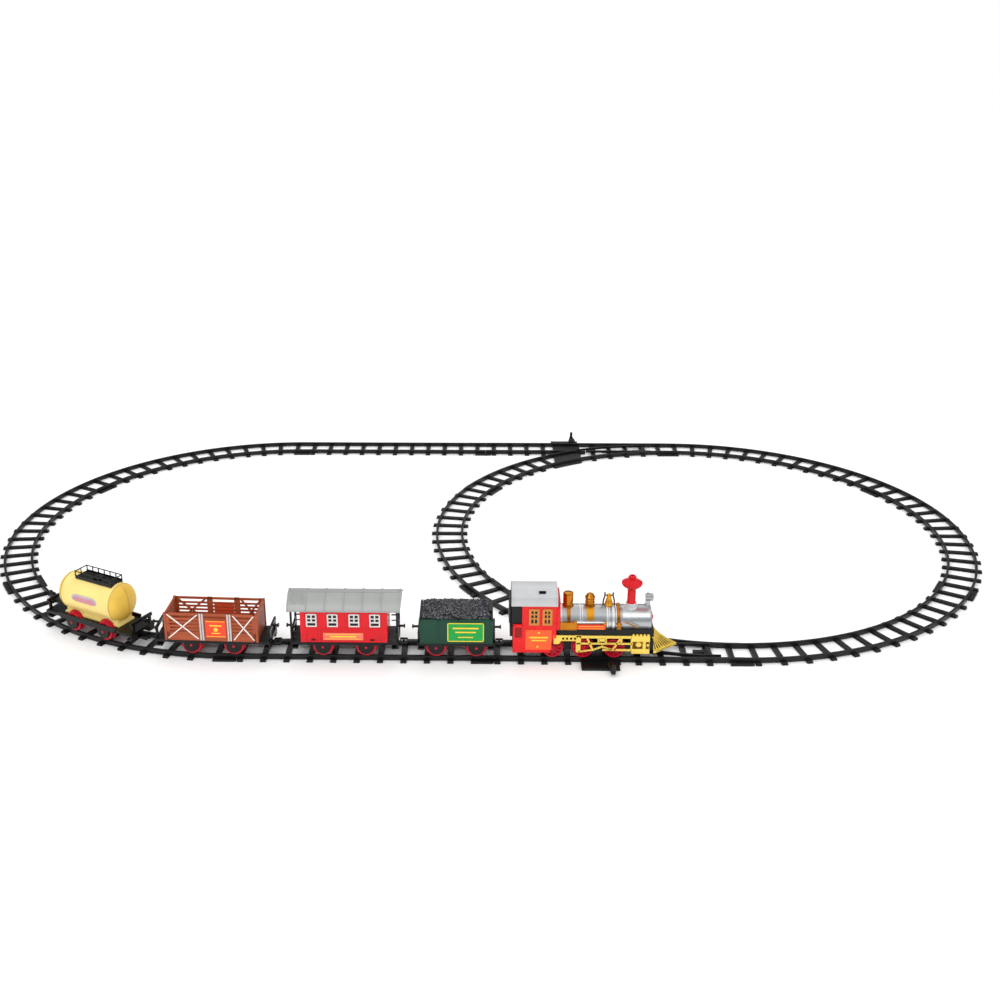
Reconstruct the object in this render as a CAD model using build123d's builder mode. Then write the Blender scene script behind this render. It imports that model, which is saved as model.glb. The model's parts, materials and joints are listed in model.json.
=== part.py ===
from build123d import *
from collections import namedtuple
from math import asin, atan2, cos, degrees, hypot, pi, radians, sin, sqrt
import os

# A battery toy train on an oval track with an inner loop. Millimetres, +Z up.
# The origin is on the floor at the centre of the layout; +X is the way the train runs on
# the near straight, +Y is away from it.

# ---- Track ----
GAUGE = 35.2                # rail centre to rail centre
RAIL_WIDTH = 3.0
RAIL_FOOT = 0.8             # height of the underside of a rail
RAIL_TOP = 7.0
SLEEPER_LENGTH = 50.7
SLEEPER_WIDTH = 7.4
SLEEPER_TOP = 3.0
SLEEPER_TAPER = 12          # degrees of slope on a sleeper's sides
STRAIGHT_LENGTH = 300.0
CURVE_RADIUS = 351.0        # centreline
CURVE_ANGLE = 60.0
STRAIGHT_SLEEPERS = 11
CURVE_SLEEPERS = 13
END_GAP = 0.1               # each section stops this far short of its nominal end
TONGUE_WIDTH = 5.6          # joining tongue beside the rail at each end
TONGUE_TOP = 2.6
TONGUE_REACH = 9.4          # past the section's end, up to the neighbour's first sleeper
TONGUE_ROOT = 15.4          # back from the section's end, into its own last sleeper
SLEEPER_PITCH = STRAIGHT_LENGTH / STRAIGHT_SLEEPERS
CURVE_PITCH = CURVE_ANGLE / CURVE_SLEEPERS

# ---- Switches ----
PLATE_START = 112.0         # filled plate between the two routes, along X
PLATE_END = 156.0
PIVOT_X = SLEEPER_PITCH * 6.5   # the blades turn about an upright pin on this sleeper
PIVOT_Y = 339.0             # distance of the pin from the layout's X axis
PIN_RADIUS = 2.0
RUNNING_CLEARANCE = 0.08
BLADE_START = 165.0
BLADE_END = 272.0
BLADE_BOTTOM = 3.4
BLADE_THROW = 3.0           # degrees from straight on to turning off
TIE_TOP = 4.6               # tie bar and heel plate stay below the wheel flanges
FLANGEWAY_WIDTH = 3.4
FLANGEWAY_FLOOR = 4.6
LEVER_X = 145.0
LEVER_REACH = 20.0          # from the lever's pin to its knob
LEVER_OFFSET = 16.0         # from the outer rail to the lever's pin

# ---- Wheels ----
AXLE_HEIGHT = 19.0
AXLE_RADIUS = 1.5
TREAD_RADIUS = 11.7
FLANGE_RADIUS = 13.2
FLANGE_INNER = 13.1         # distances from the middle of the axle
FLANGE_OUTER = 14.3
TREAD_OUTER = 20.0
FLANGE_PATH = (FLANGE_INNER + FLANGE_OUTER) / 2

# ---- Cars ----
WHEELBASE = 50.0
TENDER_WHEELBASE = 46.4
TENDER_X = -34.0
COACH_X = -163.5
WAGON_FRONT_AXLE_X = -291.4
TANK_ANGLE = 241.7          # place of the tank car on the left curve, in degrees
DECK_BOTTOM = 21.5
DECK_TOP = 25.0
DECK_HALF_WIDTH = 20.8
GUARD_RADIUS = 8.6          # round axle guard outside each wheel
GUARD_INNER = 20.9
GUARD_OUTER = 22.6
AXLE_HALF_LENGTH = 23.2
WALL = 1.8

# ---- Couplings ----
LINK_PIN_HEIGHT = 16.3
LINK_PIN_RADIUS = 1.2
LINK_PIN_INSET = 4.0        # from the end of the rear platform to the cross pin
HITCH_REACH = 5.0           # from the end of the front platform to the upright pin
HITCH_RADIUS = 1.2
LINK_THICKNESS = 2.2
EYE_LENGTH = 6.2            # opening of the loop round the upright pin
EYE_WIDTH = 9.4

# ---- Engine drive ----
GEAR_MODULE = 0.7
PINION_TEETH = 10
DRIVE_TEETH = 24
GEAR_LOW = -9.8             # the gears' span across the engine
GEAR_HIGH = -5.8
DRIVE_AXLE_X = 112.0
ENGINE_AXLES = (77.0, DRIVE_AXLE_X, 148.0)
MOTOR_HEIGHT = AXLE_HEIGHT + GEAR_MODULE * (PINION_TEETH + DRIVE_TEETH) / 2

BOTTOM = (Align.CENTER, Align.CENTER, Align.MIN)

Place = namedtuple("Place", "flat side front")
os.makedirs("parts", exist_ok=True)


def save(part, label):
    """Label a finished piece and write it as its own file."""
    part.label = label
    export_step(part, f"parts/{label}.step")


def place_at(x, y, heading=0.0):
    """Planes of a vehicle: flat (x forward, y left), side (x forward, y up), front (x left, y up)."""
    forward = (cos(radians(heading)), sin(radians(heading)), 0)
    left = (-forward[1], forward[0], 0)
    right = (forward[1], -forward[0], 0)
    origin = (x, y, 0)
    return Place(Plane(origin, x_dir=forward, z_dir=(0, 0, 1)),
                 Plane(origin, x_dir=forward, z_dir=right),
                 Plane(origin, x_dir=left, z_dir=forward))


def block(x, y, z, mode=Mode.ADD):
    """A box given by its spans along the axes of the current workplane."""
    spans = (x, y, z)
    with Locations(tuple((low + high) / 2 for low, high in spans)):
        Box(*(high - low for low, high in spans), mode=mode)


def mirrored_block(x, y, z, mode=Mode.ADD):
    """The same box on the left and on the right side."""
    block(x, y, z, mode)
    block(x, (-y[1], -y[0]), z, mode)


# ---------------------------------------------------------------- track sections

def end_tongue(plane):
    """Joining tongue at a section's end; the plane's X axis points out of the end."""
    inner = GAUGE / 2 + RAIL_WIDTH / 2 + 0.4
    with BuildSketch(plane) as outline:
        with Locations(((TONGUE_REACH - TONGUE_ROOT) / 2, -inner - TONGUE_WIDTH / 2)):
            Rectangle(TONGUE_REACH + TONGUE_ROOT, TONGUE_WIDTH)
    extrude(outline.sketch, amount=TONGUE_TOP)


def end_plane(x, y, heading):
    """Floor plane at a section's end, with X along the heading out of it."""
    outward = (cos(radians(heading)), sin(radians(heading)), 0)
    return Plane((x, y, 0), x_dir=outward, z_dir=(0, 0, 1))


def straight_rails(y, start, end):
    """Two straight rails along X about the line at y."""
    for side in (-1, 1):
        middle = y + side * GAUGE / 2
        block((start + END_GAP, end - END_GAP), (middle - RAIL_WIDTH / 2, middle + RAIL_WIDTH / 2),
              (RAIL_FOOT, RAIL_TOP))


def straight_section(label, y, start, end):
    """A straight of track between two X values."""
    with BuildPart() as section:
        with BuildSketch() as sleepers:
            with Locations((start + (end - start) / 2, y)):
                with GridLocations(SLEEPER_PITCH, 1, STRAIGHT_SLEEPERS, 1):
                    Rectangle(SLEEPER_WIDTH, SLEEPER_LENGTH)
        extrude(amount=SLEEPER_TOP, taper=SLEEPER_TAPER)
        straight_rails(y, start, end)
        end_tongue(end_plane(start, y, 180))
        end_tongue(end_plane(end, y, 0))
    save(section.part, label)


def radial_plane(centre, angle):
    """Upright plane through a curve's centre: X is outward at the angle, Y is up."""
    outward = (cos(radians(angle)), sin(radians(angle)), 0)
    return Plane((centre, 0, 0), x_dir=outward, z_dir=(outward[1], -outward[0], 0))


def curve_end_tongues(centre, start, end):
    """A tongue at each end of a curve."""
    for angle, heading in ((start, start - 90), (end, end + 90)):
        x = centre + CURVE_RADIUS * cos(radians(angle))
        y = CURVE_RADIUS * sin(radians(angle))
        end_tongue(end_plane(x, y, heading))


def curve_section(label, centre, start):
    """A 60 degree curve about a point on the X axis."""
    slip = degrees(END_GAP / CURVE_RADIUS)
    flat = Plane((centre, 0, 0), x_dir=(1, 0, 0), z_dir=(0, 0, 1))
    with BuildPart(flat) as section:
        with BuildSketch(flat) as sleepers:
            with PolarLocations(CURVE_RADIUS, CURVE_SLEEPERS, start_angle=start + CURVE_PITCH / 2,
                                angular_range=CURVE_ANGLE - CURVE_PITCH, endpoint=True):
                Rectangle(SLEEPER_LENGTH, SLEEPER_WIDTH)
        extrude(amount=SLEEPER_TOP, taper=SLEEPER_TAPER)
        with BuildSketch(radial_plane(centre, start + slip)) as rails:
            with Locations((CURVE_RADIUS - GAUGE / 2, (RAIL_FOOT + RAIL_TOP) / 2),
                           (CURVE_RADIUS + GAUGE / 2, (RAIL_FOOT + RAIL_TOP) / 2)):
                Rectangle(RAIL_WIDTH, RAIL_TOP - RAIL_FOOT)
        revolve(axis=Axis((centre, 0, 0), (0, 0, 1)), revolution_arc=CURVE_ANGLE - 2 * slip)
        curve_end_tongues(centre, start, start + CURVE_ANGLE)
    save(section.part, label)


HALF = STRAIGHT_LENGTH
for index in range(3):
    curve_section(f"curve_left_{index + 1}", -HALF, 90 + index * CURVE_ANGLE)
    curve_section(f"curve_right_{index + 1}", HALF, -90 + index * CURVE_ANGLE)
curve_section("curve_inner", HALF, 150)
straight_section("straight_back", CURVE_RADIUS, -STRAIGHT_LENGTH, 0)
straight_section("straight_front", -CURVE_RADIUS, -STRAIGHT_LENGTH, 0)


# ---------------------------------------------------------------- switches
# Both are drawn for the near side, where the routes are at negative Y, and the far one is
# the mirror image.

def arc_y(radius, x):
    """Y of the turning route's circle of that radius at x, on the near side."""
    return -sqrt(radius ** 2 - (HALF - x) ** 2)


def ring_band(inner, outer, low, high, start, arc, mode=Mode.ADD):
    """Part of a flat ring about the right-hand curve centre."""
    with BuildSketch(radial_plane(HALF, start)) as section:
        with Locations(((inner + outer) / 2, (low + high) / 2)):
            Rectangle(outer - inner, high - low)
    revolve(section.sketch, axis=Axis((HALF, 0, 0), (0, 0, 1)), revolution_arc=arc, mode=mode)


def switch_base():
    """The fixed part: both routes, the plate, the crossing and the lever's seat."""
    outer_y = -CURVE_RADIUS - GAUGE / 2
    leg_end = 150 + 60
    slip = degrees(END_GAP / CURVE_RADIUS)
    fixed_angle = 270 - degrees(asin((HALF - BLADE_START + 0.9) / (CURVE_RADIUS + GAUGE / 2)))
    long_sleepers = [SLEEPER_PITCH * (index + 0.5) for index in range(6, STRAIGHT_SLEEPERS)]
    inner_end = CURVE_RADIUS - SLEEPER_LENGTH / 2
    plate_inner = [(x, arc_y(inner_end, x)) for x in (PLATE_START, (PLATE_START + PLATE_END) / 2, PLATE_END)]
    with BuildPart() as base:
        with BuildSketch() as sleepers:
            for index in range(4):
                with Locations((SLEEPER_PITCH * (index + 0.5), -CURVE_RADIUS)):
                    Rectangle(SLEEPER_WIDTH, SLEEPER_LENGTH)
            for x in long_sleepers:
                top = arc_y(inner_end, x)
                bottom = -CURVE_RADIUS - SLEEPER_LENGTH / 2
                with Locations((x, (top + bottom) / 2)):
                    Rectangle(SLEEPER_WIDTH, top - bottom)
            with Locations((HALF, 0)):
                with PolarLocations(CURVE_RADIUS, 6, start_angle=leg_end + CURVE_PITCH / 2,
                                    angular_range=5 * CURVE_PITCH, endpoint=True):
                    Rectangle(SLEEPER_LENGTH, SLEEPER_WIDTH)
        extrude(amount=SLEEPER_TOP, taper=SLEEPER_TAPER)
        with BuildSketch() as plate:
            with BuildLine():
                Polyline(plate_inner[0], (PLATE_START, -CURVE_RADIUS - SLEEPER_LENGTH / 2),
                         (PLATE_END, -CURVE_RADIUS - SLEEPER_LENGTH / 2), plate_inner[2])
                ThreePointArc(*plate_inner)
            make_face()
        extrude(amount=SLEEPER_TOP)
        block((END_GAP, HALF - END_GAP), (outer_y - RAIL_WIDTH / 2, outer_y + RAIL_WIDTH / 2),
              (RAIL_FOOT, RAIL_TOP))
        inner_y = -CURVE_RADIUS + GAUGE / 2
        block((END_GAP, BLADE_START - 0.9), (inner_y - RAIL_WIDTH / 2, inner_y + RAIL_WIDTH / 2),
              (RAIL_FOOT, RAIL_TOP))
        stock = CURVE_RADIUS - GAUGE / 2
        ring_band(stock - RAIL_WIDTH / 2, stock + RAIL_WIDTH / 2, RAIL_FOOT, RAIL_TOP,
                  leg_end + slip, CURVE_ANGLE - 2 * slip)
        turning = CURVE_RADIUS + GAUGE / 2
        ring_band(turning - RAIL_WIDTH / 2, turning + RAIL_WIDTH / 2, RAIL_FOOT, RAIL_TOP,
                  leg_end + slip, fixed_angle - leg_end - slip)
        # flangeways of both routes through the crossing and the plate's rails
        for side in (-1, 1):
            path_y = -CURVE_RADIUS + side * FLANGE_PATH
            block((60, BLADE_START), (path_y - FLANGEWAY_WIDTH / 2, path_y + FLANGEWAY_WIDTH / 2),
                  (FLANGEWAY_FLOOR, RAIL_TOP + 1), mode=Mode.SUBTRACT)
            path = CURVE_RADIUS + side * FLANGE_PATH
            ring_band(path - FLANGEWAY_WIDTH / 2, path + FLANGEWAY_WIDTH / 2, FLANGEWAY_FLOOR,
                      RAIL_TOP + 1, leg_end + 10, CURVE_ANGLE - 22, mode=Mode.SUBTRACT)
        # the blades' pin
        with Locations((PIVOT_X, -PIVOT_Y, 0)):
            Cylinder(PIN_RADIUS, TIE_TOP, align=BOTTOM)
        # lever seat outside the outer rail
        seat_y = outer_y - LEVER_OFFSET
        block((PLATE_START - 2, PLATE_END - 2), (seat_y - 5, outer_y), (0, SLEEPER_TOP))
        with Locations((LEVER_X, seat_y, 0)):
            Cylinder(PIN_RADIUS, SLEEPER_TOP + 4.2, align=BOTTOM)
        # stop blocks for the blades, each joined to the next sleeper
        block((192, long_sleepers[1]), (-344.5, -340.5), (0, 3.2))
        block((243, long_sleepers[3]), (-347.5, -342.5), (0, 3.2))
    return base.part


def with_tongues(base, side):
    """The base with its three joining tongues, on the near side (-1) or the far side (+1)."""
    leg_angle = 180 - side * 30
    leg_x = HALF + CURVE_RADIUS * cos(radians(leg_angle))
    leg_y = CURVE_RADIUS * sin(radians(leg_angle))
    with BuildPart() as whole:
        add(base)
        end_tongue(end_plane(0, side * CURVE_RADIUS, 180))
        end_tongue(end_plane(HALF, side * CURVE_RADIUS, 0))
        end_tongue(end_plane(leg_x, leg_y, leg_angle + side * 90))
    return whole.part


def switch_blades():
    """Both moving blades with their heel plate and tie bar, set for the straight route."""
    straight_y = -CURVE_RADIUS + GAUGE / 2
    stock_face = CURVE_RADIUS - GAUGE / 2 + RAIL_WIDTH / 2 + 0.3
    turning = CURVE_RADIUS + GAUGE / 2
    outer_face = -turning + RAIL_WIDTH / 2 + 0.3
    start = 270 - degrees(asin((HALF - BLADE_START) / turning))
    arc = degrees(asin((HALF - BLADE_START) / turning)) - degrees(asin((HALF - BLADE_END) / turning))
    pivot = Axis((PIVOT_X, -PIVOT_Y, 0), (0, 0, 1))
    with BuildPart() as turning_blade:
        ring_band(turning - RAIL_WIDTH / 2, turning + RAIL_WIDTH / 2, BLADE_BOTTOM, RAIL_TOP, start, arc)
        block((200, HALF), (outer_face - 10, outer_face), (0, RAIL_TOP + 1), mode=Mode.SUBTRACT)
    turned = turning_blade.part.rotate(pivot, BLADE_THROW)
    with BuildPart() as blades:
        block((BLADE_START, BLADE_END), (straight_y - RAIL_WIDTH / 2, straight_y + RAIL_WIDTH / 2),
              (BLADE_BOTTOM, RAIL_TOP))
        with Locations((HALF, 0, 0)):
            Cylinder(stock_face, 30, mode=Mode.SUBTRACT)
        add(turned)
        block((PIVOT_X - 4.5, PIVOT_X + 4.5), (-PIVOT_Y - 8.5, -PIVOT_Y + 6.0), (BLADE_BOTTOM, TIE_TOP))
        block((258, 264), (-362, -333), (BLADE_BOTTOM, TIE_TOP))
        with Locations((PIVOT_X, -PIVOT_Y, BLADE_BOTTOM)):
            Cylinder(PIN_RADIUS + RUNNING_CLEARANCE, 10, mode=Mode.SUBTRACT)
    return blades.part


def switch_lever():
    """Tapered hand lever with an upright knob, turning on the base's pin."""
    seat_y = -CURVE_RADIUS - GAUGE / 2 - LEVER_OFFSET
    low = SLEEPER_TOP + 0.4
    with BuildPart() as lever:
        with BuildSketch(Plane.XY.offset(low)) as outline:
            with Locations((LEVER_X, seat_y)):
                Circle(5.6)
            with BuildLine():
                Polyline((LEVER_X - 5.6, seat_y), (LEVER_X + 5.6, seat_y),
                         (LEVER_X + 2.2, seat_y - LEVER_REACH),
                         (LEVER_X - 2.2, seat_y - LEVER_REACH), close=True)
            make_face()
        extrude(amount=3)
        with Locations((LEVER_X, seat_y - LEVER_REACH + 2.4, low)):
            Cylinder(2.2, 11, align=BOTTOM)
        with Locations((LEVER_X, seat_y, low)):
            Cylinder(PIN_RADIUS + RUNNING_CLEARANCE, 10, mode=Mode.SUBTRACT)
    return lever.part


near_base = switch_base()
save(with_tongues(near_base, -1), "switch_front_base")
save(with_tongues(mirror(near_base, about=Plane.XZ), 1), "switch_back_base")
for piece, label in ((switch_blades(), "blades"), (switch_lever(), "lever")):
    save(piece, f"switch_front_{label}")
    save(mirror(piece, about=Plane.XZ), f"switch_back_{label}")


# ---------------------------------------------------------------- wheels

def gear_outline(teeth, turn):
    """Spur gear face about the origin; narrow teeth leave the backlash of a moulded gear."""
    pitch_radius = GEAR_MODULE * teeth / 2
    root = pitch_radius - 1.25 * GEAR_MODULE
    tip = pitch_radius + 0.8 * GEAR_MODULE
    pitch = 2 * pi / teeth
    Circle(root)
    for index in range(teeth):
        middle = radians(turn) + index * pitch
        corners = []
        for radius, share in ((root - 0.2, -0.21), (tip, -0.09), (tip, 0.09), (root - 0.2, 0.21)):
            angle = middle + share * pitch
            corners.append((radius * cos(angle), radius * sin(angle)))
        with BuildLine() as tooth:
            Polyline(*corners, close=True)
        make_face(tooth.edges())


def wheelset(label, place, x, half_length, spokes=0, gear=False):
    """Two flanged wheels on their axle, turning about the vehicle's cross axis."""
    axle_at = Plane(place.side.from_local_coords((x, AXLE_HEIGHT, 0)), x_dir=place.side.x_dir,
                    z_dir=place.side.z_dir)
    with BuildPart(axle_at) as axle:
        Cylinder(AXLE_RADIUS, 2 * half_length)
    solids = [axle.part]
    for side in (-1, 1):
        inward = (Align.CENTER, Align.CENTER, Align.MAX if side > 0 else Align.MIN)
        with BuildPart(axle_at) as wheel:
            with Locations((0, 0, side * FLANGE_OUTER)):
                Cylinder(FLANGE_RADIUS, FLANGE_OUTER - FLANGE_INNER, align=inward)
            with Locations((0, 0, side * TREAD_OUTER)):
                Cylinder(TREAD_RADIUS, TREAD_OUTER - FLANGE_OUTER, align=inward)
                Cylinder(TREAD_RADIUS - 1.9, 2.2, align=inward, mode=Mode.SUBTRACT)
                Cylinder(3.6, 2.2, align=inward)
                if spokes:
                    with PolarLocations(6.7, spokes):
                        Box(7.4, 1.8, 2.0, align=inward)
            Cylinder(AXLE_RADIUS + 0.02, 60, mode=Mode.SUBTRACT)
        solids.append(wheel.part)
    if gear:
        with BuildPart() as drive:
            with BuildSketch(axle_at.offset(-GEAR_HIGH)) as outline:
                gear_outline(DRIVE_TEETH, 180 / DRIVE_TEETH + 90)
                Circle(AXLE_RADIUS + 0.02, mode=Mode.SUBTRACT)
            extrude(amount=GEAR_HIGH - GEAR_LOW)
        solids.append(drive.part)
    save(Compound(children=solids), label)


# ---------------------------------------------------------------- couplings

def rear_ears(end, length=6.0, turn=0.0):
    """Two ears and a cross pin inside a rear end at x = end; turn points the pin across its link."""
    mirrored_block((end + 1, end + 1 + length), (3.2, 5.2), (13.6, DECK_BOTTOM + 1))
    with Locations((end + LINK_PIN_INSET, 0, LINK_PIN_HEIGHT)):
        Cylinder(LINK_PIN_RADIUS, 9, rotation=(90, turn, 0))


def front_hitch(end):
    """Bracket with an upright pin in front of a platform that ends at x = end."""
    block((end - 9, end - 5), (-5, 5), (12.4, DECK_BOTTOM + 1))
    block((end - 9, end + HITCH_REACH + 3), (-4, 4), (12.4, 14.4))
    with Locations((end + HITCH_REACH, 0, 14.4)):
        Cylinder(HITCH_RADIUS, 3.8, align=BOTTOM)


def coupling_link(label, start, finish):
    """Loop coupler from a cross pin at start to the upright pin at finish."""
    length = hypot(finish[0] - start[0], finish[1] - start[1])
    direction = ((finish[0] - start[0]) / length, (finish[1] - start[1]) / length, 0)
    plane = Plane((start[0], start[1], LINK_PIN_HEIGHT), x_dir=direction, z_dir=(0, 0, 1))
    half = LINK_THICKNESS / 2
    with BuildPart(plane) as link:
        block((0, length - 3), (-2.6, 2.6), (-half, half))
        Cylinder(2.3, 5.2, rotation=(90, 0, 0))
        with Locations((length, 0, 0)):
            Box(EYE_LENGTH + 3, EYE_WIDTH + 3.2, LINK_THICKNESS)
        fillet(link.edges().filter_by(Axis.Z).group_by(SortBy.LENGTH)[0], 0.6)
        with Locations((length, 0, 0)):
            Box(EYE_LENGTH, EYE_WIDTH, LINK_THICKNESS, mode=Mode.SUBTRACT)
        Cylinder(LINK_PIN_RADIUS + RUNNING_CLEARANCE, 12, rotation=(90, 0, 0), mode=Mode.SUBTRACT)
    save(link.part, label)


def world(place, x, y=0.0):
    """A vehicle's point on the floor, in the layout's frame."""
    point = place.flat.from_local_coords((x, y, 0))
    return (point.X, point.Y)


# ---------------------------------------------------------------- car chassis

def car_chassis(label, place, platform, wheelbase, buffer_height, buffer_reach=7.0,
                corner_posts=0.0, rear=True, link_turn=0.0):
    """Black underframe: deck with wheel slots, axle guards, end rails, a buffer at each end, hitches."""
    axles = (-wheelbase / 2, wheelbase / 2)
    slot = FLANGE_RADIUS + 0.9
    with BuildPart(place.flat) as chassis:
        block((-platform, platform), (-DECK_HALF_WIDTH, DECK_HALF_WIDTH), (DECK_BOTTOM, DECK_TOP))
        for axle in axles:
            mirrored_block((axle - slot, axle + slot), (FLANGE_INNER - 0.7, TREAD_OUTER + 0.5),
                           (DECK_BOTTOM, DECK_TOP), mode=Mode.SUBTRACT)
        # side bars with a round guard over each axle end
        with BuildSketch(place.side.offset(GUARD_INNER)) as guards:
            with Locations((0, (DECK_BOTTOM + DECK_TOP) / 2)):
                Rectangle(wheelbase + 36, DECK_TOP - DECK_BOTTOM)
            for axle in axles:
                with Locations((axle, AXLE_HEIGHT)):
                    Circle(GUARD_RADIUS)
            with Locations((0, DECK_TOP + 5)):
                Rectangle(300, 10, mode=Mode.SUBTRACT)
        extrude(guards.sketch, amount=GUARD_OUTER - GUARD_INNER)
        extrude(guards.sketch.moved(Location(place.side.z_dir * (-GUARD_INNER - GUARD_OUTER))),
                amount=GUARD_OUTER - GUARD_INNER)
        for end in (-1, 1):
            inner = wheelbase / 2 + 15
            outer = wheelbase / 2 + 18
            span = sorted((end * inner, end * outer))
            mirrored_block(span, (DECK_HALF_WIDTH - 1, GUARD_OUTER), (DECK_BOTTOM, DECK_TOP))
        mirrored_block((-9, 9), (DECK_HALF_WIDTH - 1, GUARD_OUTER), (DECK_BOTTOM, DECK_TOP))
        # step boards and end rails
        for end in (-1, 1):
            rail = sorted((end * (platform - 2.4), end * platform))
            step = sorted((end * (platform - 8), end * platform))
            mirrored_block(step, (11, 20), (15.5, 17.5))
            mirrored_block(sorted((end * (platform - 2), end * platform)), (11, 20), (15.5, DECK_BOTTOM + 1))
            mirrored_block(rail, (12.2, 15.8), (DECK_TOP - 1, buffer_height + 2))
            block(rail, (-18, 18), (buffer_height - 1.8, buffer_height + 2))
            if corner_posts:
                mirrored_block(rail, (16.2, 18.6), (DECK_TOP - 1, corner_posts))
            with Locations((end * (platform + buffer_reach / 2), 0, buffer_height)):
                Cylinder(1.4, buffer_reach, rotation=(0, 90, 0))
            with Locations((end * (platform + buffer_reach - 0.8), 0, buffer_height)):
                Cylinder(2.4, 1.6, rotation=(0, 90, 0))
        if rear:
            rear_ears(-platform, turn=link_turn)
        front_hitch(platform)
        for axle in axles:
            with Locations((axle, 0, AXLE_HEIGHT)):
                Cylinder(AXLE_RADIUS + RUNNING_CLEARANCE, 60, rotation=(90, 0, 0), mode=Mode.SUBTRACT)
    save(chassis.part, label)


TENDER_PLATFORM = 44.8
COACH_PLATFORM = 62.5
WAGON_PLATFORM = 68.0
TANK_PLATFORM = 68.0
ENGINE_REAR = 30.0

near = -CURVE_RADIUS
engine = place_at(0, near)
tender = place_at(TENDER_X, near)
coach = place_at(COACH_X, near)

# The wagon's front axle is still on the straight and its rear axle is on the curve.
rear_turn = asin((-HALF - (WAGON_FRONT_AXLE_X - WHEELBASE)) / CURVE_RADIUS)
wagon_rear_axle = (-HALF - CURVE_RADIUS * sin(rear_turn), -CURVE_RADIUS * cos(rear_turn))
wagon_front_axle = (WAGON_FRONT_AXLE_X, near)
wagon_heading = degrees(atan2(wagon_front_axle[1] - wagon_rear_axle[1],
                              wagon_front_axle[0] - wagon_rear_axle[0]))
wagon_base = hypot(wagon_front_axle[0] - wagon_rear_axle[0], wagon_front_axle[1] - wagon_rear_axle[1])
wagon = place_at((wagon_front_axle[0] + wagon_rear_axle[0]) / 2,
                 (wagon_front_axle[1] + wagon_rear_axle[1]) / 2, wagon_heading)

# Both axles of the tank car are on the curve, so its middle is a little inside it.
tank_radius = sqrt(CURVE_RADIUS ** 2 - (WHEELBASE / 2) ** 2)
tank = place_at(-HALF + tank_radius * cos(radians(TANK_ANGLE)), tank_radius * sin(radians(TANK_ANGLE)),
                TANK_ANGLE + 90)



def angle_behind(place, heading, platform, ahead, ahead_platform):
    """Angle of the link behind one vehicle, measured from that vehicle's own length."""
    start = world(place, LINK_PIN_INSET - platform)
    finish = world(ahead, ahead_platform + HITCH_REACH)
    return degrees(atan2(start[1] - finish[1], start[0] - finish[0])) - heading


wagon_link_turn = angle_behind(coach, 0, COACH_PLATFORM, wagon, WAGON_PLATFORM)
tank_link_turn = angle_behind(wagon, wagon_heading, WAGON_PLATFORM, tank, TANK_PLATFORM)
car_chassis("tender_chassis", tender, TENDER_PLATFORM, TENDER_WHEELBASE, 35.5)
car_chassis("coach_chassis", coach, COACH_PLATFORM, WHEELBASE, 36.0, corner_posts=64.9,
            link_turn=wagon_link_turn)
car_chassis("wagon_chassis", wagon, WAGON_PLATFORM, wagon_base, 37.0, link_turn=tank_link_turn)
car_chassis("tank_chassis", tank, TANK_PLATFORM, WHEELBASE, 36.0, rear=False)

for index, x in enumerate(ENGINE_AXLES):
    wheelset(f"engine_wheelset_{index + 1}", engine, x, TREAD_OUTER + 0.4, spokes=8,
             gear=x == DRIVE_AXLE_X)
for name, place, base in (("tender", tender, TENDER_WHEELBASE), ("coach", coach, WHEELBASE),
                          ("wagon", wagon, wagon_base), ("tank", tank, WHEELBASE)):
    wheelset(f"{name}_wheelset_front", place, base / 2, AXLE_HALF_LENGTH)
    wheelset(f"{name}_wheelset_rear", place, -base / 2, AXLE_HALF_LENGTH)

couplings = (("link_tender", (ENGINE_REAR + LINK_PIN_INSET, near),
              world(tender, TENDER_PLATFORM + HITCH_REACH)),
             ("link_coach", world(tender, LINK_PIN_INSET - TENDER_PLATFORM),
              world(coach, COACH_PLATFORM + HITCH_REACH)),
             ("link_wagon", world(coach, LINK_PIN_INSET - COACH_PLATFORM),
              world(wagon, WAGON_PLATFORM + HITCH_REACH)),
             ("link_tank", world(wagon, LINK_PIN_INSET - WAGON_PLATFORM),
              world(tank, TANK_PLATFORM + HITCH_REACH)))
for label, start, finish in couplings:
    coupling_link(label, start, finish)


# ---------------------------------------------------------------- tender

with BuildPart(tender.flat) as tender_body:
    block((-42, 42), (-23, 23), (25.4, 56))
    block((-42 + WALL, 42 - WALL), (-23 + WALL, 23 - WALL), (25.4, 56 - WALL), mode=Mode.SUBTRACT)
    for end in (-1, 1):
        block(sorted((end * 42, end * (42 - WALL))), (-23, 23), (54, 60))
        block(sorted((end * 42, end * 38)), (-23, -23 + WALL), (54, 60))
        block(sorted((end * 42, end * 38)), (23 - WALL, 23), (54, 60))
    mirrored_block((-42, 42), (22.2, 23.6), (54, 57.4))
    for index in range(9):
        x = -40 + index * 10
        mirrored_block((x - 0.6, x + 0.6), (22.5, 23.6), (25.4, 55))
save(tender_body.part, "tender_body")

with BuildPart(tender.flat) as coal:
    block((-36.5, 36.5), (-20, 20), (56.05, 59.5))
    block((-33, 32), (-16, 16), (59, 60.8))
save(coal.part, "coal_load")


# ---------------------------------------------------------------- coach

COACH_WINDOWS = (-37.0, -12.7, 12.2, 36.0)      # middles along the coach
WINDOW_WIDTH = 12.4
WINDOW_BOTTOM = 45.7
WINDOW_TOP = 62.0

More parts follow.
